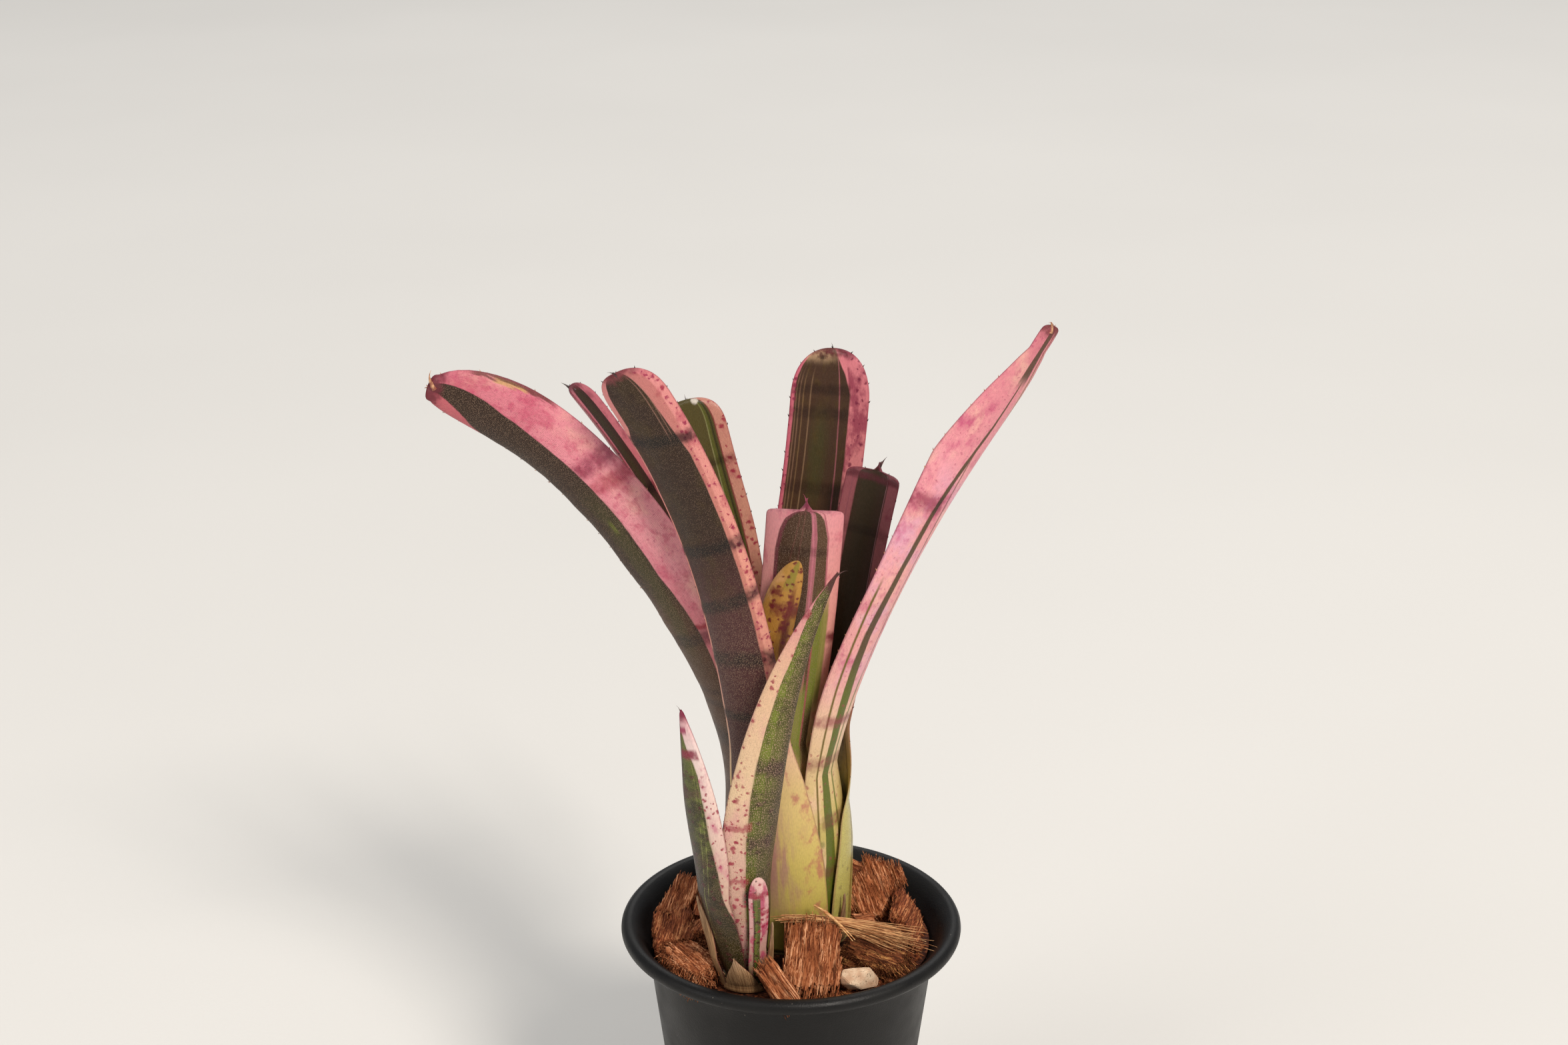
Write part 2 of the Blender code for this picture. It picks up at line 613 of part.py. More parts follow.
make_pot()
make_stems_and_mix()
for leaf in MOTHER_LEAVES + PUP_LEAVES:
    add_object(leaf.name, *leaf_mesh(leaf), leaf.colour, LEAF_ROUGHNESS)
for bract in BRACTS:
    add_object(bract.name, *leaf_mesh(bract), bract.colour, DRY_ROUGHNESS)
for chip in CHIPS:
    add_object(chip.name, *chip_mesh(chip), chip.colour, chip.roughness)
for strand in STRANDS:
    add_object(strand.name, *strand_mesh(strand), FIBRE_COLOUR, 0.8)
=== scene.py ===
import math
import random

import bmesh
import bpy
from mathutils import Euler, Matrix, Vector


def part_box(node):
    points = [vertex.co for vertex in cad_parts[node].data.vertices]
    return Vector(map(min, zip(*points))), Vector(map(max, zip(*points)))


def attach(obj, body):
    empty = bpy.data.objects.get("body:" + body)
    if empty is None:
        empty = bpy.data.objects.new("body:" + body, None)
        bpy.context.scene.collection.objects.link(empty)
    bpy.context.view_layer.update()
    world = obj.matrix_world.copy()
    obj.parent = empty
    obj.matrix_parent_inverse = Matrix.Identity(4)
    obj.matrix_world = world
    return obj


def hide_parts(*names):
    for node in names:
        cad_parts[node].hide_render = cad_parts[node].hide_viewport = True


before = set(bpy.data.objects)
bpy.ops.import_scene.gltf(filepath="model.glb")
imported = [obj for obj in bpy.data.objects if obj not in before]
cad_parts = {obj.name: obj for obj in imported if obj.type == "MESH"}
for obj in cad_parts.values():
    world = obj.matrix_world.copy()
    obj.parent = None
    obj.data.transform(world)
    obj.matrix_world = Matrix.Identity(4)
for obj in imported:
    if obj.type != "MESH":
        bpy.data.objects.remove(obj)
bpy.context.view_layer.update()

# The pot is a thin injection-moulded nursery pot: matt black plastic with a fine grain and a
# rolled rim that stiffens it. It carries everything else and stands on its flat underside.
MM = 0.001
POT_SIDES = 160
FOOT_RADIUS, NECK_RADIUS, NECK_HEIGHT = 32.0, 42.2, 79.5
WALL, FLOOR = 1.3, 2.0
RIM_RADIUS, RIM_ROLL, POT_HEIGHT = 47.8, 2.2, 88.0
DRAIN_RING, DRAIN_RADIUS, DRAIN_COUNT = 24.0, 3.0, 8


def seen(code):
    """A colour as it is seen, in six hex digits, as the linear values that a shader takes."""
    parts = [int(code[i:i + 2], 16) / 255.0 for i in (0, 2, 4)]
    return tuple(c / 12.92 if c < 0.04045 else ((c + 0.055) / 1.055) ** 2.4 for c in parts) + (1.0,)


def worked(operation, swapped=False):
    """A sum with a wire in it, as a node. With a vector in it, it works on vectors."""
    def node_for(wire, other):
        terms = (other, wire) if swapped else (wire, other)
        vectors = [isinstance(t, tuple) or isinstance(t, Wire) and t.is_vector for t in terms]
        if not any(vectors):
            return wire.wiring.math(operation, *terms)
        if operation == "MULTIPLY" and not all(vectors):
            return wire.wiring.add("ShaderNodeVectorMath", {0: wire, "Scale": other}, operation="SCALE")
        return wire.wiring.add("ShaderNodeVectorMath", dict(enumerate(terms)), operation=operation)
    return node_for


class Wire:
    """A node's output. Sums with it are written as on paper, and each adds a node."""

    __add__, __sub__, __mul__ = worked("ADD"), worked("SUBTRACT"), worked("MULTIPLY")
    __radd__, __rsub__, __rmul__ = worked("ADD", True), worked("SUBTRACT", True), worked("MULTIPLY", True)
    __truediv__, __rtruediv__, __pow__ = worked("DIVIDE"), worked("DIVIDE", True), worked("POWER")
    __lt__, __gt__ = worked("LESS_THAN"), worked("GREATER_THAN")

    def __init__(self, wiring, socket):
        self.wiring, self.socket = wiring, socket
        self.is_vector = socket.type in ("VECTOR", "RGBA")

    def __abs__(self):
        return self.wiring.math("ABSOLUTE", self)


ORIGIN = (0.0, 0.0, 0.0)


class Wiring:
    """Adds nodes to a tree. A plain value or another node's output may feed any input."""

    def __init__(self, tree):
        self.tree = tree

    def find(self, sockets, key):
        usable = [s for s in sockets if s.enabled]
        return usable[key] if isinstance(key, int) else next(s for s in usable if s.name == key)

    def feed(self, socket, value):
        if isinstance(value, list):
            for one in value:
                self.feed(socket, one)
        elif isinstance(value, Wire):
            self.tree.links.new(value.socket, socket)
        else:
            socket.default_value = value

    def node(self, kind, feeds, **settings):
        made = self.tree.nodes.new(kind)
        for name, value in settings.items():
            setattr(made, name, value)
        for key, value in feeds.items():
            self.feed(self.find(made.inputs, key), value)
        return made

    def add(self, kind, feeds={}, out=0, **settings):
        """A new node's output, or several outputs where out lists them."""
        made = self.node(kind, feeds, **settings)
        if isinstance(out, tuple):
            return [Wire(self, self.find(made.outputs, key)) for key in out]
        return Wire(self, self.find(made.outputs, out))

    def math(self, operation, *terms, clamp=False):
        return self.add("ShaderNodeMath", dict(enumerate(terms)), operation=operation, use_clamp=clamp)

    def xyz(self, x, y, z):
        return self.add("ShaderNodeCombineXYZ", {0: x, 1: y, 2: z})

    def part(self, vector, axis):
        return self.add("ShaderNodeSeparateXYZ", {0: vector}, axis)

    def ramp(self, value, low, high, to_low=0.0, to_high=1.0):
        return self.add("ShaderNodeMapRange", {0: value, 1: low, 2: high, 3: to_low, 4: to_high},
                        interpolation_type="SMOOTHSTEP")

    def noise(self, vector, scale, detail=2.0, out="Fac", **feeds):
        feeds = {"Vector": vector, "Scale": scale, "Detail": detail, **feeds}
        return self.add("ShaderNodeTexNoise", feeds, out)

    def cells(self, vector, dimensions="2D", **feeds):
        """Scattered cells: the distance from each one's middle, and two chances that it has."""
        distance, tint = self.add("ShaderNodeTexVoronoi", {"Vector": vector, "Scale": 1.0, **feeds},
                                  ("Distance", "Color"), voronoi_dimensions=dimensions)
        return distance, *self.add("ShaderNodeSeparateColor", {0: tint}, (0, 1))

    def blend(self, factor, below, above, kind="MIX"):
        return self.add("ShaderNodeMix", {"Factor": factor, "A": below, "B": above}, data_type="RGBA",
                        blend_type=kind)

    def steps(self, value, stops):
        """Colours or shades along a value: stops are (place, colour) pairs."""
        made = self.node("ShaderNodeValToRGB", {0: value})
        band = made.color_ramp.elements
        while len(band) < len(stops):
            band.new(1.0)
        for element, (place, shade) in zip(band, stops):
            element.position = place
            element.color = shade if isinstance(shade, tuple) else (shade, shade, shade, 1.0)
        return Wire(self, made.outputs[0])

    def use(self, tree, feeds, out=0):
        return self.add("ShaderNodeGroup", feeds, out, node_tree=tree)

    def attribute(self, name, out="Fac"):
        return self.add("ShaderNodeAttribute", out=out, attribute_name=name)

    def moved(self, shape, offset):
        return self.add("GeometryNodeSetPosition", {"Geometry": shape, "Offset": offset})

    def put(self, shape, position):
        return self.add("GeometryNodeSetPosition", {"Geometry": shape, "Position": position})

    def stored(self, shape, name, value, kind="FLOAT", domain="POINT"):
        return self.add("GeometryNodeStoreNamedAttribute", {"Geometry": shape, "Name": name,
                                                            "Value": value}, data_type=kind,
                        domain=domain)

    def clad(self, shape, material):
        return self.add("GeometryNodeSetMaterial", {"Geometry": shape, "Material": material})

    def smoothed(self, shape):
        return self.add("GeometryNodeSetShadeSmooth", {0: shape})

    def joined(self, shapes):
        return self.add("GeometryNodeJoinGeometry", {"Geometry": shapes})

    def realized(self, shape):
        return self.add("GeometryNodeRealizeInstances", {"Geometry": shape})

    def chance(self, low, high, seed, **feeds):
        return self.add("FunctionNodeRandomValue", {"Min": low, "Max": high, "Seed": seed, **feeds},
                        data_type="FLOAT_VECTOR" if isinstance(low, tuple) else "FLOAT")


def group(kind, name, inputs, outputs):
    """A node group with named sockets: its wiring, its inputs by name and its outputs."""
    tree = bpy.data.node_groups.new(name, kind)
    kinds = {float: "NodeSocketFloat", int: "NodeSocketInt", tuple: "NodeSocketVector",
             str: "NodeSocketMaterial", list: "NodeSocketGeometry"}
    for key, value in inputs.items():
        made = tree.interface.new_socket(key, in_out="INPUT", socket_type=kinds[type(value)])
        if not isinstance(value, (str, list)):
            made.default_value = value
    for key, value in outputs.items():
        tree.interface.new_socket(key, in_out="OUTPUT", socket_type=kinds[type(value)])
    start = tree.nodes.new("NodeGroupInput")
    end = tree.nodes.new("NodeGroupOutput")
    w = Wiring(tree)
    return w, {s.name: Wire(w, s) for s in start.outputs if s.name}, end.inputs


def new_material(name):
    """An empty node material: itself, its wiring and its surface shader."""
    made = bpy.data.materials.new(name)
    made.use_nodes = True
    return made, Wiring(made.node_tree), made.node_tree.nodes["Principled BSDF"]


def finish_surface(wiring, shader, colour, roughness, height, distance, strength=1.0, **plain):
    """Feeds the shader; plain values such as its coat go straight on its own sockets."""
    wiring.feed(shader.inputs["Base Color"], colour)
    wiring.feed(shader.inputs["Roughness"], roughness)
    bump = wiring.add("ShaderNodeBump", {"Height": height, "Distance": distance, "Strength": strength})
    wiring.feed(shader.inputs["Normal"], bump)
    for key, value in plain.items():
        shader.inputs[key.replace("_", " ")].default_value = value


def object_mm(w):
    """Object coordinates in millimetres."""
    return w.add("ShaderNodeTexCoord", out="Object") * 1000.0


def formula(output="Mask", **inputs):
    """Turns a function of wires into a shader group with its name, these inputs and one output."""
    def made(work):
        w, given, end = group("ShaderNodeTree", work.__name__, inputs, {output: 0.0})
        w.feed(end[output], work(w, *given.values()))
        return w.tree
    return made


@formula(Position=ORIGIN, Cell=4.0, Share=0.2, Speck=0.12)
def dust_specks(w, position, cell, share, speck):
    """Sparse pale specks of dust and grit."""
    distance, pick, size = w.cells(position / w.xyz(cell, cell, cell), "3D")
    return (pick < share) * (distance < speck * size)


def pot_plastic():
    made, w, shader = new_material("pot_plastic")
    place = object_mm(w)
    grain = w.noise(place, 2.6, 3.0)
    clouds = w.noise(place, 0.07, 3.0)
    rubbed = w.noise(place * (0.25, 0.25, 0.05), 0.6, 2.0)
    fine = w.use(dust_specks, {"Position": place, "Cell": 2.2, "Share": 0.16, "Speck": 0.1})
    grit = w.use(dust_specks, {"Position": place, "Cell": 7.5, "Share": 0.16, "Speck": 0.06})
    colour = w.blend(w.ramp(clouds, 0.35, 0.7), seen("070606"), seen("0f0e0d"))
    colour = w.blend(w.ramp(rubbed, 0.55, 0.75) * 0.35, colour, seen("1a1816"))
    colour = w.blend(fine * 0.35, colour, seen("8f877c"))
    colour = w.blend(grit * 0.8, colour, seen("b5ab9c"))
    finish_surface(w, shader, colour, w.ramp(clouds, 0.3, 0.7, 0.4, 0.55), grain, 0.00015, 0.6,
                   Specular_IOR_Level=0.3)
    return made


def as_mesh(name, shape):
    """A worked shape as a mesh; the shape is done with."""
    mesh = bpy.data.meshes.new(name)
    shape.to_mesh(mesh)
    shape.free()
    return mesh


def turned(name, profile, sides, centre=(0.0, 0.0)):
    """A closed round piece from (radius, height) pairs in mm that start and end on its axis."""
    shape = bmesh.new()
    middle = Vector((*centre, 0.0))
    ends = [shape.verts.new((middle + Vector((0.0, 0.0, profile[k][1]))) * MM) for k in (0, -1)]
    rings = []
    for radius, height in profile[1:-1]:
        angles = [2.0 * math.pi * i / sides for i in range(sides)]
        rings.append([shape.verts.new((middle + Vector((radius * math.cos(a), radius * math.sin(a),
                                                        height))) * MM) for a in angles])
    for i in range(sides):
        j = (i + 1) % sides
        shape.faces.new((ends[0], rings[0][j], rings[0][i]))
        for low, high in zip(rings, rings[1:]):
            shape.faces.new((low[i], low[j], high[j], high[i]))
        shape.faces.new((rings[-1][i], rings[-1][j], ends[1]))
    mesh = as_mesh(name, shape)
    mesh.shade_smooth()
    mesh.set_sharp_from_angle(angle=math.radians(42))
    return mesh


def place(name, mesh):
    """A piece of the scene with this mesh."""
    made = bpy.data.objects.new(name, mesh)
    bpy.context.scene.collection.objects.link(made)
    return made


def settled(name, source):
    """The evaluated object as a plain mesh on a new object; the source goes away."""
    bpy.context.view_layer.update()
    ready = source.evaluated_get(bpy.context.evaluated_depsgraph_get())
    mesh = bpy.data.meshes.new_from_object(ready)
    bpy.data.objects.remove(source, do_unlink=True)
    mesh.name = name
    return place(name, mesh)


def keep(piece, slot, stands_for=None):
    """The piece rides on the only body; it may stand for a CAD node, which is hidden. Slot is not used.
    """
    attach(piece, "root")
    if stands_for:
        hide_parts(stands_for)


def pot_profile():
    """The foot, the tapered wall, the flared neck and the rolled rim, then down the inside."""
    wall = [(0.0, 0.0), (FOOT_RADIUS - 1.2, 0.0), (FOOT_RADIUS - 0.4, 0.3), (FOOT_RADIUS + 0.1, 1.2)]
    wall += [(FOOT_RADIUS + (NECK_RADIUS - FOOT_RADIUS) * t / 12.0, NECK_HEIGHT * t / 12.0)
             for t in range(1, 13)]
    wall += [(NECK_RADIUS + 0.5, NECK_HEIGHT + 1.3), (NECK_RADIUS + 1.8, NECK_HEIGHT + 3.0)]
    for degrees in range(-150, 121, 15):
        angle = math.radians(degrees)
        wall.append((RIM_RADIUS + RIM_ROLL * math.cos(angle),
                     POT_HEIGHT - RIM_ROLL + RIM_ROLL * math.sin(angle)))
    return wall + [(45.0, 86.3), (43.6, 84.2), (42.0, 81.4), (NECK_RADIUS - WALL, NECK_HEIGHT + 0.5),
                   (FOOT_RADIUS - WALL + 0.3, FLOOR), (0.0, FLOOR)]


blank = place("pot_blank", turned("pot_blank", pot_profile(), POT_SIDES))
drills = []
for i in range(DRAIN_COUNT):
    angle = 2.0 * math.pi * (i + 0.5) / DRAIN_COUNT
    spot = (DRAIN_RING * math.cos(angle), DRAIN_RING * math.sin(angle))
    drill_profile = [(0, -1), (DRAIN_RADIUS, -1), (DRAIN_RADIUS, FLOOR + 1), (0, FLOOR + 1)]
    drills.append(place(f"drill_{i}", turned("drill", drill_profile, 24, spot)))
    cut = blank.modifiers.new("drain", "BOOLEAN")
    cut.operation, cut.solver, cut.object = "DIFFERENCE", "EXACT", drills[-1]
pot = settled("pot_shell", blank)
for drill in drills:
    bpy.data.objects.remove(drill, do_unlink=True)
pot.data.materials.clear()
pot.data.materials.append(pot_plastic())
keep(pot, "pot", "pot")

# The potting mix is fine coconut husk and dust, filled to just under the rim. Loose crumbs and
# short fibres lie on it wherever no shoot stands.
MIX_BED = [(0.0, 83.8), (22.0, 83.8), (32.1, 82.6), (40.8, 80.8)]     # radius and height
SHOOT_FEET = [(0.3, 2.0, 21.0), (-12.6, -26.0, 13.4)]                 # x, y and radius


def bed_height(radius):
    for (r0, z0), (r1, z1) in zip(MIX_BED, MIX_BED[1:]):
        if radius <= r1:
            return z0 + (z1 - z0) * (radius - r0) / (r1 - r0)
    return MIX_BED[-1][1]


def husk_fibre_group():
    """Long fibres: streaks along x, as a height from 0 to 1 and a slower tint."""
    w, given, end = group("ShaderNodeTree", "husk_fibres",
                          {"Position": ORIGIN, "Fineness": 3.0, "Stretch": 0.07},
                          {"Height": 0.0, "Tint": 0.0})
    bend = w.noise(given["Position"], 0.09, 2.0, out="Color")
    bent = given["Position"] + (bend - (0.5, 0.5, 0.5)) * 1.4
    drawn = bent * w.xyz(given["Stretch"], 1.0, 1.0)
    fine = w.noise(drawn * given["Fineness"], 1.0, 5.0, Roughness=0.65)
    w.feed(end["Height"], w.ramp(fine, 0.34, 0.64))
    w.feed(end["Tint"], w.noise(bent * w.xyz(0.12, 0.5, 0.5), 1.0, 4.0))
    return w.tree


FIBRES = husk_fibre_group()


def husk_surface(name, dark, middle, light, attribute=None, fineness=2.4, stretch=0.03):
    """Coconut husk: red-brown fibres with painted shade in the gaps and painted highlights on the ridges.
    """
    made, w, shader = new_material(name)
    if attribute:
        place_mm = w.attribute(attribute, "Vector")
    else:
        place_mm = object_mm(w)
    height, tint = w.use(FIBRES, {"Position": place_mm, "Fineness": fineness, "Stretch": stretch},
                         ("Height", "Tint"))
    # Painted shade: where the fibres sit low, in the gaps between them, the colour is darker.
    colour = w.blend(w.ramp(height, 0.0, 0.7), seen(dark), seen(middle))
    # Painted highlight: the high ridges are paler, more so in some patches.
    ridge_highlight = w.ramp(height, 0.45, 1.0) * w.ramp(tint, 0.38, 0.66)
    colour = w.blend(ridge_highlight, colour, seen(light))
    colour = w.blend(w.ramp(tint, 0.6, 0.34) * 0.45, colour, seen(dark))
    splits = w.noise(place_mm * (0.07 if attribute else 0.6, 0.8, 0.8), 1.0, 4.0, Roughness=0.6)
    # Painted shade: the long splits along the grain are darkened as well as sunk in the bump.
    colour = w.blend(w.ramp(splits, 0.43, 0.34) * 0.65, colour, seen("3c1a0e"))
    height = w.math("MULTIPLY_ADD", w.ramp(splits, 0.34, 0.48), 2.0, height)
    rough = w.ramp(height, 0.0, 3.0, 0.95, 0.75)
    finish_surface(w, shader, colour, rough, height, 0.0003, 0.8, Specular_IOR_Level=0.2)
    return made


def crumb_tree():
    w, given, end = group("GeometryNodeTree", "husk_crumbs",
                          {"Bed": [], "Crumbs": 2.0, "Fibres": 1.0, "Seed": 3, "Husk": ""},
                          {"Crumbs": []})

    def scatter(density, seed, shape, low, high, flat):
        spots = w.add("GeometryNodeDistributePointsOnFaces",
                      {"Mesh": given["Bed"], "Density": density, "Seed": seed})
        turn = w.chance((-flat, -flat, 0.0), (flat, flat, math.tau), 5)
        size = w.chance(low, high, 9)
        return w.add("GeometryNodeInstanceOnPoints",
                     {"Points": spots, "Instance": shape,
                      "Rotation": w.add("FunctionNodeEulerToRotation", {0: turn}), "Scale": size})

    ball = w.add("GeometryNodeMeshIcoSphere", {"Radius": 0.001, "Subdivisions": 2})
    where = w.add("GeometryNodeInputPosition")
    knock = w.noise(where, 900.0, 2.0, out="Color") - (0.5, 0.5, 0.5)
    lump = w.moved(ball, knock * 0.0018)
    stick = w.add("GeometryNodeMeshCylinder",
                  {"Vertices": 4, "Side Segments": 4, "Radius": 0.00012, "Depth": 0.007}, out="Mesh")
    bow = (w.part(where, 2) * 285.0) ** 2.0 * 0.0012
    stick = w.moved(stick, w.xyz(bow, 0.0, 0.0))
    lying = w.add("GeometryNodeTransform", {"Geometry": stick, "Rotation": (0.0, math.radians(90), 0.0)})
    lumps = scatter(given["Crumbs"], given["Seed"], lump, (0.6, 0.4, 0.35), (2.2, 1.3, 1.1), 0.6)
    sticks = scatter(given["Fibres"], given["Seed"] + 1.0, lying, (0.5, 0.7, 0.7), (1.3, 1.5, 1.5), 0.35)
    w.feed(end["Crumbs"], w.clad(w.realized(w.joined([lumps, sticks])), given["Husk"]))
    return w.tree


def grown(name, source, tree, values):
    """Runs a tree on an object with its inputs set, and leaves a plain mesh."""
    step = source.modifiers.new(tree.name, "NODES")
    step.node_group = tree
    for item in tree.interface.items_tree:
        if item.in_out == "INPUT" and item.name in values:
            step[item.identifier] = values[item.name]
    return settled(name, source)


PATCH_STEP, PATCH_HALF, PATCH_RADIUS = 1.2, 34, 39.0                  # mm, squares, mm


def bed_patch():
    """The open part of the bed, where crumbs may lie, as a fine grid of faces."""
    shape = bmesh.new()
    corners = {}
    for i in range(-PATCH_HALF, PATCH_HALF + 1):
        for j in range(-PATCH_HALF, PATCH_HALF + 1):
            x, y = i * PATCH_STEP, j * PATCH_STEP
            corners[i, j] = shape.verts.new(Vector((x, y, bed_height(math.hypot(x, y)) + 0.2)) * MM)
    for i in range(-PATCH_HALF, PATCH_HALF):
        for j in range(-PATCH_HALF, PATCH_HALF):
            x, y = (i + 0.5) * PATCH_STEP, (j + 0.5) * PATCH_STEP
            clear = all(math.hypot(x - a, y - b) > r for a, b, r in SHOOT_FEET)
            if clear and math.hypot(x, y) < PATCH_RADIUS:
                shape.faces.new((corners[i, j], corners[i + 1, j], corners[i + 1, j + 1],
                                 corners[i, j + 1]))
    return as_mesh("bed_patch", shape)


# Like every husk finish, the mix and its crumbs carry painted shade in the gaps and splits and painted
# highlights on the ridges.
mix_surface = husk_surface("potting_mix_surface", "241009", "5a2a16", "8a5030", None, 1.2, 0.6)
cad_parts["potting_mix"].material_slots[0].material = mix_surface
crumbs = grown("mix_crumbs", place("bed", bed_patch()), crumb_tree(),
               {"Crumbs": 520000.0, "Fibres": 420000.0, "Seed": 3,
                "Husk": husk_surface("crumb_husk", "3a180c", "8a4524", "c08048", None, 1.6, 0.5)})
keep(crumbs, "potting_mix")

# The stems are short corky stumps that the leaf bases sit on. They are buried in the mix, and
# the pup's runner joins the two.


def stem_cork():
    made, w, shader = new_material("stem_cork")
    place_mm = object_mm(w)
    rings = w.noise(place_mm * (0.3, 0.3, 2.2), 1.0, 4.0)
    colour = w.blend(w.ramp(rings, 0.35, 0.65), seen("5b4524"), seen("9c8550"))
    colour = w.blend(w.ramp(w.noise(place_mm, 0.6, 4.0), 0.5, 0.75), colour, seen("3b2a18"))
    finish_surface(w, shader, colour, w.ramp(rings, 0.2, 0.8, 0.6, 0.85), rings, 0.0005, 0.8)
    return made


cork = stem_cork()
for name in ("mother_stem", "pup_stem"):
    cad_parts[name].material_slots[0].material = cork

# The leaves are stiff leathery straps with small dark hooks along their margins. Each starts as
# a sheath that hugs its neighbours round the shoot, then opens to a shallow trough and ends in
# a short point. Lengthwise pink and green stripes run through it, with dark bands across.
LEAF_BASE = 84.0                              # mm above the floor
TUBE_STEPS, BLADE_STEPS, WINDOW = 20, 60, 2   # points along the sheath, the blade, and averaged
# From the sheath's mouth, in mm: where the arc opens, the blade widens and its neck ends.
OPENING, WIDENING, NECK_SPAN = (-4.0, 34.0), (-4.0, 22.0), (8.0, 55.0)
WRAP_LOSS, POINT_BULGE, BEAK_BREADTH = 0.25, 2.0, 1.15
SHEATH_THICKNESS, BLADE_THICKNESS, LEAST_WIDTH = 0.7, 1.2, 0.5
BODY_ROWS, END_ROWS, LEAF_COLUMNS = 120, 30, 33


def smooth(value, low, high):
    """Goes from 0 at low to 1 at high along an S-shaped curve."""
    t = min(max((value - low) / (high - low), 0.0), 1.0)
    return t * t * (3.0 - 2.0 * t)


def mix(a, b, t):
    return a + (b - a) * t


def bezier(handles, t):
    """The point at share t of a curve that four points shape."""
    s = 1.0 - t
    weights = (s * s * s, 3 * s * s * t, 3 * s * t * t, t * t * t)
    return sum((h * w for h, w in zip(handles, weights)), Vector())


class Shoot:
    """The round of nested sheaths of one shoot: its axis and how its radius changes."""

    def __init__(self, base, lean, foot, neck, belly, mouth):
        self.base, self.lean, self.foot = base, lean, foot
        self.neck, self.belly, self.mouth = neck, belly, mouth

    def axis(self, z):
        up = z - LEAF_BASE
        return Vector((self.base[0] + self.lean * up, self.base[1], z))

    def swell(self, z):
        if z < self.belly:
            return -self.foot * min((self.belly - z) / (self.belly - LEAF_BASE), 1.0) ** 1.3
        return -self.neck * smooth(z, self.belly, self.mouth)


MOTHER = Shoot((0.3, 2.0), -0.055, 2.2, 2.2, 114.0, 146.0)
PUP = Shoot((-12.6, -26.0), -0.10, 4.9, 0.0, 112.0, 130.0)


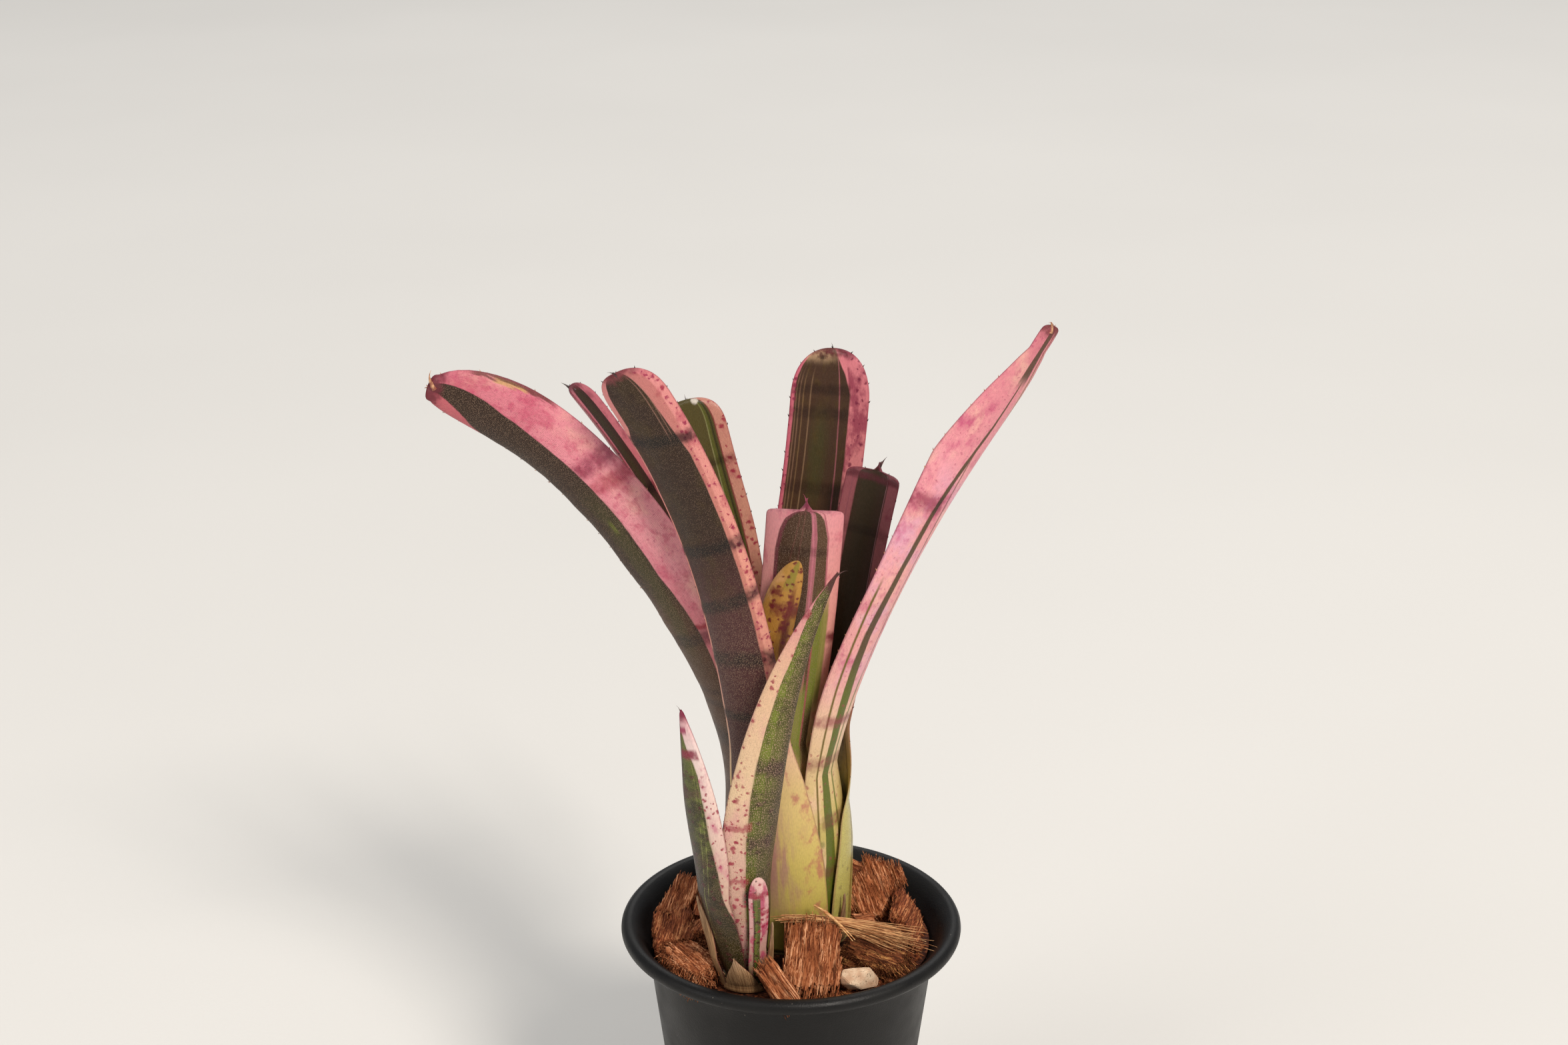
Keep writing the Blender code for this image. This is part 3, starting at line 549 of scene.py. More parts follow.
class Leaf:
    """One leaf's shape: a sheath round its shoot, then a blade along a curve of four points.

    Ring is the sheath's radius and wrap half the angle it takes up. The blade starts at the mouth,
    its outer side turns to face, and channel is half the angle of its trough. Rounding is how
    long the narrowing end is, and a higher bluntness makes it squarer.
    """

    def __init__(self, shoot, ring, azimuth, wrap, mouth, lift, knee, tip, face, width, channel,
                 rounding, bluntness, twist=0.0, neck=1.0, foot=LEAF_BASE, cut=0.0, beak=0.0,
                 pointed=False):
        self.shoot, self.ring, self.azimuth, self.wrap, self.mouth = shoot, ring, azimuth, wrap, mouth
        self.face, self.width, self.channel, self.rounding = face, width, channel, rounding
        self.bluntness, self.twist, self.neck = bluntness, twist, neck
        self.cut, self.beak, self.pointed = cut, beak, pointed
        self.points = [self.in_shoot(mix(foot, mouth, i / TUBE_STEPS)) for i in range(TUBE_STEPS)]
        handles = [self.in_shoot(mouth), Vector(lift), Vector(knee), Vector(tip)]
        self.points += [bezier(handles, i / BLADE_STEPS) for i in range(BLADE_STEPS + 1)]
        self.reach = [0.0]
        for a, b in zip(self.points, self.points[1:]):
            self.reach.append(self.reach[-1] + (b - a).length)
        self.length, self.sheath = self.reach[-1], self.reach[TUBE_STEPS]

    def in_shoot(self, z):
        angle = math.radians(self.azimuth)
        radius = self.ring + self.shoot.swell(z)
        return self.shoot.axis(z) + Vector((math.cos(angle), math.sin(angle), 0.0)) * radius

    def along(self, where):
        """The point and the direction at a distance along the midline."""
        last = len(self.points) - 1
        i = 0
        while i < last - 1 and self.reach[i + 1] < where:
            i += 1
        t = (where - self.reach[i]) / (self.reach[i + 1] - self.reach[i])
        step = self.points[min(i + 1 + WINDOW, last)] - self.points[max(i - WINDOW, 0)]
        return self.points[i].lerp(self.points[i + 1], t), step.normalized()

    def blade_width(self, where):
        x = max(where - (self.length - self.beak - self.rounding), 0.0) / self.rounding
        taper = max(1.0 - x ** self.bluntness, 0.0) ** (1.0 / self.bluntness)
        width = self.width * taper * mix(self.neck, 1.0, smooth(where - self.sheath, *NECK_SPAN))
        if self.beak:
            left = min((self.length - where) / self.beak, 1.0)
            width = max(width, self.beak * BEAK_BREADTH * left ** 1.7)
        return max(width, self.cut * max(1.0 - x ** 60.0, 0.0) ** 0.5)

    def axes(self, direction, where):
        """The way the outer face looks, and the way across it."""
        turn = smooth(where, self.sheath * 0.8, mix(self.sheath, self.length, 0.6))
        facing = math.radians(mix(self.azimuth, self.face, turn))
        out = Vector((math.cos(facing), math.sin(facing), 0.0))
        upright = Vector((0.0, 0.0, 1.0))
        direction = upright.lerp(direction, smooth(where, self.sheath * 0.4, self.sheath + 12.0))
        direction.normalize()
        out = (out - direction * out.dot(direction)).normalized()
        across = direction.cross(out)
        twist = math.radians(self.twist) * smooth(where, self.length * 0.55, self.length)
        return (out * math.cos(twist) + across * math.sin(twist),
                across * math.cos(twist) - out * math.sin(twist), direction)

    def row(self, where):
        """What the leaf tree needs at one distance: the arc that the leaf is, across."""
        point, direction = self.along(where)
        wrap = math.radians(self.wrap) * (1.0 - WRAP_LOSS * min(where / self.sheath, 1.0) ** 2)
        hug = self.ring + self.shoot.swell(min(point.z, self.mouth))
        flat_radius = self.width / (2.0 * math.radians(self.channel))
        opened = smooth(where - self.sheath, *OPENING)
        radius = mix(hug, flat_radius, opened)
        width = mix(2.0 * hug * wrap, self.blade_width(where), smooth(where - self.sheath, *WIDENING))
        if self.pointed:
            width *= max(1.0 - (where / self.length) ** POINT_BULGE, 0.0)
        half_angle = max(width, LEAST_WIDTH) / (2.0 * radius)
        out, across, direction = self.axes(direction, where)
        thick = mix(SHEATH_THICKNESS, BLADE_THICKNESS, opened)
        thick *= min(1.0, (self.length - where) / 1.2) ** 0.5 * min(1.0, where / 0.8) ** 0.5
        return {"centre": (point - out * radius) * MM, "radius": radius * MM, "thick": thick * MM,
                "half_angle": half_angle, "along": where, "out": out, "across_way": across,
                "direction": direction, "loose": opened}

    def midline(self):
        """The arc centres as a line of points that carry each row's values."""
        end = min(self.rounding, 20.0) + self.beak
        body = self.length - end
        rows = [body * i / BODY_ROWS for i in range(BODY_ROWS)]
        rows += [body + end * (1.0 - (1.0 - i / END_ROWS) ** 2.2) for i in range(END_ROWS + 1)]
        data = [self.row(where) for where in rows]
        mesh = bpy.data.meshes.new("midline")
        mesh.from_pydata([d["centre"] for d in data], [(i, i + 1) for i in range(len(data) - 1)], [])
        for key in ("radius", "thick", "half_angle", "along", "loose"):
            made = mesh.attributes.new(key, "FLOAT", "POINT")
            made.data.foreach_set("value", [d[key] for d in data])
        for key in ("out", "across_way", "direction"):
            made = mesh.attributes.new(key, "FLOAT_VECTOR", "POINT")
            made.data.foreach_set("vector", [c for d in data for c in d[key]])
        return mesh


HOOKS_LOST, HOOK_STRAY = 0.35, 0.35     # the share of hooks worn off, and how far they lean


def leaf_tree():
    """A thick leaf from its row of arcs, with hooks along its margins and a point on its end."""
    w, given, end = group("GeometryNodeTree", "leaf_sheet", {
        "Midline": [], "Rows": BODY_ROWS + END_ROWS + 1, "Columns": LEAF_COLUMNS,
        "Ripple": 0.0004, "Ripple Seed": 0.0, "Hook Length": 0.0010, "Hook Spacing": 0.0052,
        "Hooks From": 60.0, "Hook Seed": 1, "Point Start": ORIGIN,
        "Point Bend": ORIGIN, "Point End": ORIGIN, "Point Radius": 0.0006,
        "Skin": "", "Horn": ""}, {"Leaf": []})
    grid = w.add("GeometryNodeMeshGrid", {"Size X": 2.0, "Size Y": 1.0, "Vertices X": given["Columns"],
                                          "Vertices Y": given["Rows"]}, out="Mesh")
    where = w.add("GeometryNodeInputPosition")
    side = w.part(where, 0)
    u = side * (1.5 - side * (side * 0.5))
    row = w.math("ROUND", (w.part(where, 1) + 0.5) * (given["Rows"] - 1.0))

    def named(name, kind="FLOAT"):
        return w.add("GeometryNodeInputNamedAttribute", {"Name": name}, data_type=kind)

    def at_row(value, kind="FLOAT"):
        feeds = {"Geometry": given["Midline"], "Value": value, "Index": row}
        return w.add("GeometryNodeSampleIndex", feeds, data_type=kind)

    def way(name):
        return named(name, "FLOAT_VECTOR")

    radius, along = at_row(named("radius")), at_row(named("along"))
    half = at_row(named("half_angle"))
    out_way = at_row(way("out"), "FLOAT_VECTOR")
    across_way = at_row(way("across_way"), "FLOAT_VECTOR")
    centre = at_row(where, "FLOAT_VECTOR")
    angle = u * half
    ray = out_way * w.math("COSINE", angle) + across_way * w.math("SINE", angle)
    flat = angle * radius * 1000.0
    edge = abs(u) ** 3.0
    wave = w.noise(w.xyz(along * 0.07, w.math("SIGN", u) + given["Ripple Seed"], 0.0), 1.0, 2.0)
    wave = (wave - 0.5) * edge * (given["Ripple"] * at_row(named("loose")))
    full = 1.0 - abs(u) ** 6.0
    half_thick = at_row(named("thick")) * 0.5 * w.math("SQRT", w.math("MAXIMUM", full, 0.0))
    for name, value, kind in (("across", u, "FLOAT"), ("along", along, "FLOAT"),
                              ("flat", w.xyz(flat, along, 0.0), "FLOAT_VECTOR")):
        grid = w.stored(grid, name, value, kind)

    def face(sign, inner):
        shape = w.put(grid, centre + ray * (radius + wave + half_thick * sign))
        if inner:
            shape = w.add("GeometryNodeFlipFaces", {0: shape})
        return w.stored(shape, "inner", inner, domain="FACE")

    sheet = w.joined([face(1.0, 0.0), face(-1.0, 1.0)])
    sheet = w.smoothed(w.add("GeometryNodeMergeByDistance", {"Geometry": sheet, "Distance": 0.0000005}))
    hook = w.add("GeometryNodeMeshCone", {"Vertices": 5, "Radius Top": 0.0, "Radius Bottom": 0.26,
                                          "Depth": 1.0}, out="Mesh")
    hook = w.stored(hook, "horn", True, "BOOLEAN", "FACE")
    parts = [sheet]
    line_radius, line_half = named("radius"), named("half_angle")
    line_out, line_across = way("out"), way("across_way")
    for sign in (1.0, -1.0):
        cosine, sine = w.math("COSINE", line_half), w.math("SINE", line_half) * sign
        rim = where + (line_out * cosine + line_across * sine) * line_radius
        away = line_across * (cosine * sign) - line_out * (sine * sign)
        line = w.put(w.stored(given["Midline"], "away", away, "FLOAT_VECTOR"), rim)
        line = w.add("GeometryNodeMeshToCurve", {"Mesh": line})
        line = w.add("GeometryNodeResampleCurve", {"Curve": line, "Length": given["Hook Spacing"]},
                     mode="LENGTH")
        seed = given["Hook Seed"] + sign
        jolt = w.chance((-HOOK_STRAY,) * 3, (HOOK_STRAY,) * 3, seed)
        lean = way("away") + jolt + way("direction") * 1.3
        turn = w.add("FunctionNodeAlignRotationToVector", {"Vector": lean}, axis="Z")
        chance = w.chance(0.0, 1.0, seed + 7.0)
        chosen = (chance > HOOKS_LOST) * (named("along") > given["Hooks From"])
        size = given["Hook Length"] * (0.4 + chance * 0.6)
        parts.append(w.add("GeometryNodeInstanceOnPoints", {
            "Points": line, "Selection": chosen, "Instance": hook, "Rotation": turn,
            "Scale": w.xyz(size, size, size)}))
    spike = w.add("GeometryNodeCurveQuadraticBezier", {"Resolution": 12, "Start": given["Point Start"],
                                                       "Middle": given["Point Bend"],
                                                       "End": given["Point End"]})
    factor = w.add("GeometryNodeSplineParameter", out="Factor")
    narrowing = 0.04 + (1.0 - factor) ** 1.6
    ring = w.add("GeometryNodeCurvePrimitiveCircle", {"Resolution": 8, "Radius": given["Point Radius"]})
    spike = w.add("GeometryNodeCurveToMesh", {"Curve": spike, "Profile Curve": ring,
                                              "Scale": narrowing, "Fill Caps": True})
    parts.append(w.stored(w.smoothed(spike), "horn", True, "BOOLEAN", "FACE"))
    whole = w.clad(w.realized(w.joined(parts)), given["Skin"])
    whole = w.add("GeometryNodeSetMaterial", {"Geometry": whole, "Selection": named("horn", "BOOLEAN"),
                                              "Material": given["Horn"]})
    w.feed(end["Leaf"], whole)
    return w.tree


@formula(Across=0.0, Flat=ORIGIN, Left=-1.0, Right=1.0, Softness=0.03, Wander=0.05)
def leaf_stripe(w, across, flat, left, right, soft, wander):
    """A lengthwise stripe between two places across, with edges that wander a little."""
    shift = w.noise(flat * (1.0, 0.13, 1.0), 0.9, 4.0) - 0.5
    place_u = w.math("MULTIPLY_ADD", shift, wander, across)
    rise = w.ramp(place_u, left - soft, left + soft)
    fall = w.ramp(place_u, right - soft, right + soft)
    return w.math("SUBTRACT", rise, fall, clamp=True)


@formula(Across=0.0, Flat=ORIGIN, Height=100.0, Half=2.0, Tilt=0.0, Ragged=2.5)
def leaf_band(w, across, flat, height, half, tilt, ragged):
    """A band across the leaf at a height along it, uneven in height and in depth."""
    shift = w.noise(flat, 0.3, 5.0, Roughness=0.65) - 0.5
    level = w.math("MULTIPLY_ADD", shift, ragged, w.part(flat, 1)) - tilt * across
    mask = 1.0 - w.ramp(abs(level - height), half * 0.35, half * 1.6)
    return mask * w.ramp(w.noise(flat + (31.0, 7.0, 0.0), 0.45, 4.0), 0.3, 0.55, 0.55, 1.0)


@formula(Flat=ORIGIN, Cell=3.0, Share=0.5, Size=0.35, Stretch=1.0)
def leaf_spots(w, flat, cell, share, size, stretch):
    """Round-ish spots of many sizes, scattered over some of the cells."""
    bend = w.noise(flat, 0.9, 4.0, out="Color") - (0.5, 0.5, 0.5)
    distance, pick, largeness = w.cells((flat + bend * 1.8) / w.xyz(cell * stretch, cell, cell))
    size = size * w.ramp(largeness, 0.0, 1.0, 0.35, 1.0)
    return (1.0 - w.ramp(distance, size * 0.3, size)) * (pick < share)


@formula(Flat=ORIGIN, Pitch=0.4, Dot=0.4, Cover=0.5)
def silver_scurf(w, flat, pitch, dot, cover):
    """Fine silvery scales in lengthwise rows, worn off in patches."""
    distance, shine, _ = w.cells(flat / w.xyz(pitch, pitch, 1.0), Randomness=0.55)
    mask = (1.0 - w.ramp(distance, dot * 0.4, dot)) * w.ramp(shine, 0.0, 1.0, 0.25, 1.0)
    return mask * w.ramp(w.noise(flat, 0.9, 3.0), 0.85 - cover, 1.05 - cover, 0.25, 1.0)


@formula("Height", Across=0.0, Flat=ORIGIN, Count=55.0)
def leaf_ribs(w, across, flat, count):
    """The fine lengthwise veins of a leaf, as a height."""
    shift = w.noise(flat * (0.6, 0.03, 1.0), 1.0, 2.0)
    turns = w.math("MULTIPLY_ADD", shift, 0.06, across) * (count * math.pi)
    wave = w.math("MULTIPLY_ADD", w.math("SINE", turns), 0.5, 0.5)
    return wave * 0.6 + w.noise(flat, 2.5, 3.0)


MAGENTA, CREAM, BASE_GREEN, BROWN_OLIVE = "bc3f62", "e6c595", "c4b45c", "2c190c"
BAND_TINT, RED_SPOT, SCALE = "8a5a64", "9a2440", "bc9c82"
INNER_GLOSS = -0.08         # the inner face is a little smoother


class LeafSkin:
    """Lays colours on a leaf, one over the other, by place across (-1 to 1) and along (mm)."""

    def __init__(self, name, seed, leaf):
        self.name, self.leaf, self.seed = name, leaf, seed
        self.made, self.w, self.shader = new_material(name + "_skin")
        self.length, self.sheath = leaf.length, leaf.sheath
        w = self.w
        self.across = w.attribute("across")
        self.along = w.attribute("along")
        self.inner = w.attribute("inner")
        flat = w.attribute("flat", "Vector")
        self.flat = flat + (seed * 37.0, 0.0, seed * 11.0)
        self.share = self.along / leaf.length
        self.colour, self.silver = None, None

    def ground(self, *stops):
        self.colour = self.w.steps(self.share, [(min(v / self.length, 1.0), seen(c)) for v, c in stops])

    def path(self, points):
        """A place across that changes along the leaf, from (along, across) pairs."""
        if not isinstance(points, list):
            return points
        # A grey step holds 0 to 1, so places from -2 to 2 are squeezed into it and drawn out again.
        shade = self.w.steps(self.share, [(min(v / self.length, 1.0), (u + 2.0) / 4.0)
                                          for v, u in points])
        return self.w.math("MULTIPLY_ADD", shade, 4.0, -2.0)

    def lay(self, mask, colour, strength=1.0, kind="MIX"):
        if strength != 1.0:
            mask = mask * strength
        self.colour = self.w.blend(mask, self.colour, seen(colour), kind)

    def marked(self, tree, **feeds):
        """The mask of a group of markings, which learns where on the leaf it is."""
        feeds = {"Across": self.across, "Flat": self.flat, **feeds}
        wanted = [item.name for item in tree.interface.items_tree]
        return self.w.use(tree, {name: value for name, value in feeds.items() if name in wanted})

    def within(self, mask, limits):
        zone = self.zone(**limits)
        return mask * zone if zone else mask

    def zone(self, left=-2.0, right=2.0, low=None, high=None, soft=0.03, wander=0.05, fade=4.0):
        """A mask between two places across, and between two heights where they are given."""
        w = self.w
        mask = None
        if (left, right) != (-2.0, 2.0):
            mask = self.marked(leaf_stripe, Left=self.path(left), Right=self.path(right),
                               Softness=soft, Wander=wander)
        if low is not None:
            rise = w.ramp(self.along, low - fade, low + fade)
            mask = mask * rise if mask else rise
        if high is not None:
            fall = w.ramp(self.along, high - fade, high + fade, 1.0, 0.0)
            mask = mask * fall if mask else fall
        return mask

    def stripe(self, colour, left, right, strength=1.0, kind="MIX", **limits):
        self.lay(self.zone(left, right, **limits), colour, strength, kind)

    def line(self, colour, centre, width=0.035, strength=1.0, **limits):
        """A thin stripe along a path."""
        half = width / 2.0
        if isinstance(centre, (list, tuple)):
            left = [(v, u - half) for v, u in centre]
            right = [(v, u + half) for v, u in centre]
        else:
            left, right = centre - half, centre + half
        limits.setdefault("soft", 0.02)
        limits.setdefault("wander", 0.02)
        self.stripe(colour, left, right, strength, **limits)

    def band(self, colour, height, half, strength=0.85, left=-2.0, right=2.0, tilt=0.0, ragged=2.5,
             kind="MULTIPLY"):
        mask = self.marked(leaf_band, Height=height, Half=half, Tilt=tilt, Ragged=ragged)
        if (left, right) != (-2.0, 2.0):
            mask = mask * self.zone(left, right, soft=0.06)
        self.lay(mask, colour, strength, kind)

    def bar(self, *where, ragged=5.0, **limits):
        """A torn band of solid colour, where a plain band darkens what is under it."""
        self.band(*where, ragged=ragged, kind="MIX", **limits)

    def spots(self, colour=RED_SPOT, cell=3.0, share=0.5, size=0.35, stretch=1.0, strength=0.9, **limits):
        mask = self.marked(leaf_spots, Cell=cell, Share=share, Size=size, Stretch=stretch)
        self.lay(self.within(mask, limits), colour, strength)

    def mottle(self, colour, scale=0.12, start=0.5, full=0.72, strength=0.7, stretch=0.65, **limits):
        """Soft clouds of colour, drawn out along the leaf."""
        clouds = self.w.noise(self.flat * (1.0, stretch, 1.0), scale, 4.0, Roughness=0.6)
        mask = self.w.ramp(clouds, start, full)
        self.lay(self.within(mask, limits), colour, strength)

    def scales(self, strength=0.5, cover=0.5, inside=0.1, pitch=0.4, **limits):
        """Silvery scales, mostly on the outer face."""
        mask = self.within(self.marked(silver_scurf, Cover=cover, Pitch=pitch), limits)
        self.silver = mask * self.w.ramp(self.inner, 0.0, 1.0, 1.0, inside)
        self.lay(self.silver, SCALE, strength)

    def dry_tip(self, reach, colour="3b2018"):
        ragged = self.w.math("MULTIPLY_ADD", self.w.noise(self.flat, 0.6, 3.0), 5.0, self.along)
        mask = self.w.ramp(ragged, self.length - reach + 1.0, self.length - reach + 4.5)
        self.lay(mask, colour, 0.9)

    def done(self, gloss, ribs, relief):
        """Adds veins, a darker margin and the gloss: the finished material."""
        w = self.w
        veins = self.marked(leaf_ribs, Count=ribs)
        veins = veins * w.ramp(self.along, self.sheath - 10.0, self.sheath + 20.0, 0.25, 1.0)
        fine = w.noise(self.flat * (2.2, 1.0, 1.0), 1.0, 3.0)
        self.lay(w.ramp(fine, 0.35, 0.75, 0.0, 0.12), "2a1a14", kind="MULTIPLY")
        self.lay(w.ramp(abs(self.across), 0.95, 1.0), "7a3040", 0.5)
        height = w.math("MULTIPLY_ADD", self.silver, 1.5, veins) if self.silver else veins
        rough = w.ramp(w.noise(self.flat, 0.3, 3.0), 0.3, 0.7, gloss - 0.04, gloss + 0.06)
        rough = rough + self.inner * INNER_GLOSS
        finish_surface(w, self.shader, self.colour, rough, height, relief, 0.7, Specular_IOR_Level=0.3)
        return self.made

    def grow(self, bend, tip, gloss=0.42, ribs=55.0, relief=0.00008, radius=0.9, hook=0.75, ripple=0.5,
             hard=None):
        """Makes the leaf. The point on its end bends to a tip: both are mm ahead, aside and out."""
        leaf = self.leaf
        _, direction = leaf.along(leaf.length)
        out, across, _ = leaf.axes(direction, leaf.length)

        def from_end(ahead, aside, outward):
            return tuple((leaf.points[-1] + direction * ahead + across * aside + out * outward) * MM)

        values = {"Ripple": ripple * MM, "Ripple Seed": self.seed * 3.7, "Hook Length": hook * MM,
                  "Hook Seed": self.seed * 10, "Hooks From": leaf.sheath + 6.0,
                  "Skin": self.done(gloss, ribs, relief), "Horn": hard or DARK_HORN,
                  "Point Radius": radius * MM, "Point Start": from_end(-2.0, 0.0, 0.0),
                  "Point Bend": from_end(*bend), "Point End": from_end(*tip)}
        start = place(self.name + "_midline", leaf.midline())
        keep(grown(self.name + "_leaf", start, LEAF_TREE, values), self.name, self.name)


def horn(name, foot, tip):
    """The hard stuff of the hooks and points: dark, a little glossy."""
    made, w, shader = new_material(name)
    patches = w.noise(object_mm(w), 0.9, 3.0)
    colour = w.blend(w.ramp(patches, 0.35, 0.65), seen(foot), seen(tip))
    finish_surface(w, shader, colour, w.ramp(patches, 0.3, 0.7, 0.35, 0.5), patches, 0.0001, 0.5)
    return made


DARK_HORN = horn("dark_horn", "241416", "5c3834")
TAN_HORN = horn("tan_horn", "8a4a38", "d9a67c")
PINK_HORN = horn("pink_horn", "b0506a", "7c2f3f")
LEAF_TREE = leaf_tree()

# The longest leaf leans far to the left and ends in a dry cut.
leaf = Leaf(MOTHER, 17.4, 210, 56, 130, (-15.5, -5, 178), (-54, -12, 247), (-96, -24, 259), 262,
            20.5, 34, 36, 2.2, cut=8.0)
edge = [(60, 0.35), (90, 0.25), (100, 0.18), (110, 0.05), (120, -0.1), (165, -0.1), (175, -0.08),
        (185, 0.0), (195, 0.2), (204, 0.4)]
s = LeafSkin("leaf_left_long", 1, leaf)
s.ground((0, BASE_GREEN), (45, CREAM), (80, "dc8480"), (120, "ea9ca4"), (160, "e6909c"), (208, "cc6a7c"))
s.mottle("f4c6ac", start=0.46, full=0.7, left=0.3, right=1.0, strength=0.4, soft=0.3)
s.mottle(MAGENTA, scale=0.13, start=0.47, strength=0.75, low=150, fade=20)
s.mottle(MAGENTA, scale=0.16, full=0.74, strength=0.65)
s.mottle(MAGENTA, scale=0.5, start=0.48, full=0.7, strength=0.55)
s.stripe(MAGENTA, edge, [(v, u + 0.3) for v, u in edge], 0.35, soft=0.1, wander=0.5, high=130, fade=12)
s.spots("b04068", cell=1.3, share=0.35, size=0.3, strength=0.5)
s.stripe(BROWN_OLIVE, -2.0, edge, soft=0.02)
s.stripe("5c3a20", -2.0, edge, 0.5, high=112, fade=10, soft=0.1)
s.stripe("3c3c14", -0.6, -0.15, 0.6, low=92, high=150, fade=10, wander=0.5, soft=0.15)
s.stripe("66701e", -0.42, -0.3, 0.6, low=137, high=141, fade=1.5, wander=0.2, soft=0.05)
s.stripe("c4606c", -2.0, [(186, -1.0), (190, -0.9), (200, -0.45), (205, -0.2)], low=186, fade=2)
s.band("a87090", 158.5, 2.6, 0.8, tilt=-1.0, left=-0.1)
s.band("c06a80", 152, 2.0, 0.6, tilt=-2.0, left=-0.1)
s.band("b03a5c", 101, 1.0, left=0.1)
s.band("604048", 97.5, 2.0, 0.7, tilt=1.0)
s.band(BAND_TINT, 80, 1.0, 0.6)
s.band(BAND_TINT, 76, 0.9, 0.6)
s.band("5a4044", 65, 3.0, 0.7)
s.scales(0.42, cover=0.62, right=edge)
s.scales(0.16, left=edge)
s.stripe("c99c68", 0.78, 0.95, 0.9, low=183.5, high=192, fade=1.0, wander=0.3)
s.stripe("5a2a20", 0.86, 2.0, 0.8, low=176, high=198, fade=2.0, wander=0.4)
s.dry_tip(4.0, "6a2430")
s.grow((1.0, 2.6, 0.6), (0.6, 5.2, 1.0), ripple=1.5, hard=TAN_HORN)

# The broad front leaf has the clearest dark bands.
leaf = Leaf(MOTHER, 19.0, 253, 56, 133, (-12, -18, 172), (-18, -24, 222), (-46, -31, 265), 250,
            19.0, 32, 12, 2.4)
s = LeafSkin("leaf_front_banded", 2, leaf)
s.ground((0, "b2a64c"), (30, "ccb662"), (52, "dcbe80"), (66, "e4b898"), (90, "de9a88"), (120, "de9684"),
         (189, "dc8c8c"))
s.stripe("a4607c", -0.35, 0.3, 0.65, low=16, high=46, soft=0.25, wander=0.9, fade=10)
s.mottle("b0706c", scale=0.2, strength=0.35, low=10, high=50, fade=8)
s.mottle("b04458", scale=0.3, start=0.48, full=0.66, strength=0.6, left=0.6)
right = [(40, -0.3), (52, -0.05), (62, 0.25), (76, 0.62), (160, 0.62), (165, 0.55), (175, 0.45),
         (185, 0.4)]
left = [(40, -0.9), (168, -0.88), (172, -0.72), (188, -0.68)]
s.stripe("a05a50", right, 0.74, 0.5, low=80)
s.stripe(BROWN_OLIVE, left, right, soft=0.02)
s.stripe("4a2026", left, right, 0.8, high=124, fade=16)
s.mottle("40300e", scale=0.2, start=0.4, full=0.7, strength=0.5, left=left, right=right, low=110)
s.line("b08070", 0.32, 0.02, 0.6, low=166, high=187, fade=2)
s.line("b08070", 0.43, 0.016, 0.6, low=166, high=187, fade=2)
s.spots("98284c", cell=1.7, share=0.65, size=0.4, left=0.66, low=82)
s.spots(RED_SPOT, cell=3.4, share=0.4, size=0.34, left=0.66, low=82, stretch=0.8)
s.band("3c2030", 166, 1.8, tilt=-1.6)
s.band("442436", 131, 2.0, tilt=0.6)
s.band("38182c", 113.5, 2.0, tilt=2.4)
s.band("34162a", 95.5, 2.4)
s.band("38182c", 77, 1.5, right=0.2)
s.scales(0.24, cover=0.55, left=left, right=right)
s.scales(cover=0.55, left=left, right=right, high=110, fade=14, pitch=0.46)
s.stripe("8a3a48", -2.0, -0.975, 0.7, low=80)
s.dry_tip(2.0, "8a4048")
s.grow((0.8, 0.0, 0.6), (1.6, -1.0, 1.6), radius=0.6)

# The tall right leaf is mostly pink with one green stripe, and its end is torn.
leaf = Leaf(MOTHER, 17.4, 338, 58, 138, (18, -6, 175), (41, -8, 220), (70, -8, 271), 342, 26.0,
            66, 45, 1.15, twist=-35, cut=6.5)
s = LeafSkin("leaf_right_long", 3, leaf)
s.ground((0, "b4a648"), (40, "c8b46a"), (58, "e0c090"), (72, "eac4a4"), (84, "eca8a4"), (150, "ee9ea6"),
         (200, "dc7e8c"))
s.mottle("f6c6b0", start=0.46, full=0.7, strength=0.55)
s.mottle("dcacd0", scale=0.09, start=0.46, full=0.66, strength=0.5, low=84, high=150, fade=10)
s.mottle("bc3c70", scale=0.14, strength=0.75, low=86)
s.mottle("bc3c70", scale=0.5, start=0.54, strength=0.5, low=80)
s.spots("b04068", cell=1.4, share=0.3, size=0.3, strength=0.5, low=84)
green = [(0, -0.42), (55, -0.4), (65, -0.35), (80, -0.42), (90, -0.48), (100, -0.52), (110, -0.5),
         (120, -0.47), (130, -0.42), (140, -0.37), (150, -0.25), (160, -0.12), (168, 0.0),
         (180, 0.1)]
half = [0.1, 0.11, 0.12, 0.11, 0.1, 0.09, 0.08, 0.07, 0.065, 0.06, 0.055, 0.05, 0.045, 0.03]
near = [(v, u - h) for (v, u), h in zip(green, half)]
far = [(v, u + h) for (v, u), h in zip(green, half)]
s.stripe("483a14", near, far, 0.95, high=182, soft=0.015, fade=2)
s.stripe("606a1e", near, far, 0.9, high=88, fade=10, soft=0.02)
s.line("6c5c20", [(0, -0.66), (70, -0.68), (80, -0.72), (110, -0.8)], 0.05, high=116)
s.line("64402c", -0.1, 0.04, 0.8, low=88, high=162, fade=8)
s.line("606a20", -0.12, 0.06, 0.85, high=86)
s.stripe("6a6022", 0.52, 0.62, 0.8, wander=0.06)
s.line("74602c", 0.78, 0.04, 0.6)
s.band("a8648a", 142, 2.4, right=-0.2)
s.bar("8c2440", 71.5, 1.6, 0.7, ragged=3.5)
s.bar("7c2a34", 58.5, 1.6, 0.6, left=-1.0, ragged=4.0)
s.bar("6a3a30", 40, 1.8, 0.6, left=-0.6, right=0.1, ragged=6.0)
s.bar("6a3a30", 24, 1.8, 0.6, left=-0.6, right=0.1, ragged=6.0)
s.spots("9c3c48", cell=2.2, share=0.35, size=0.3, low=20, high=80, strength=0.6)
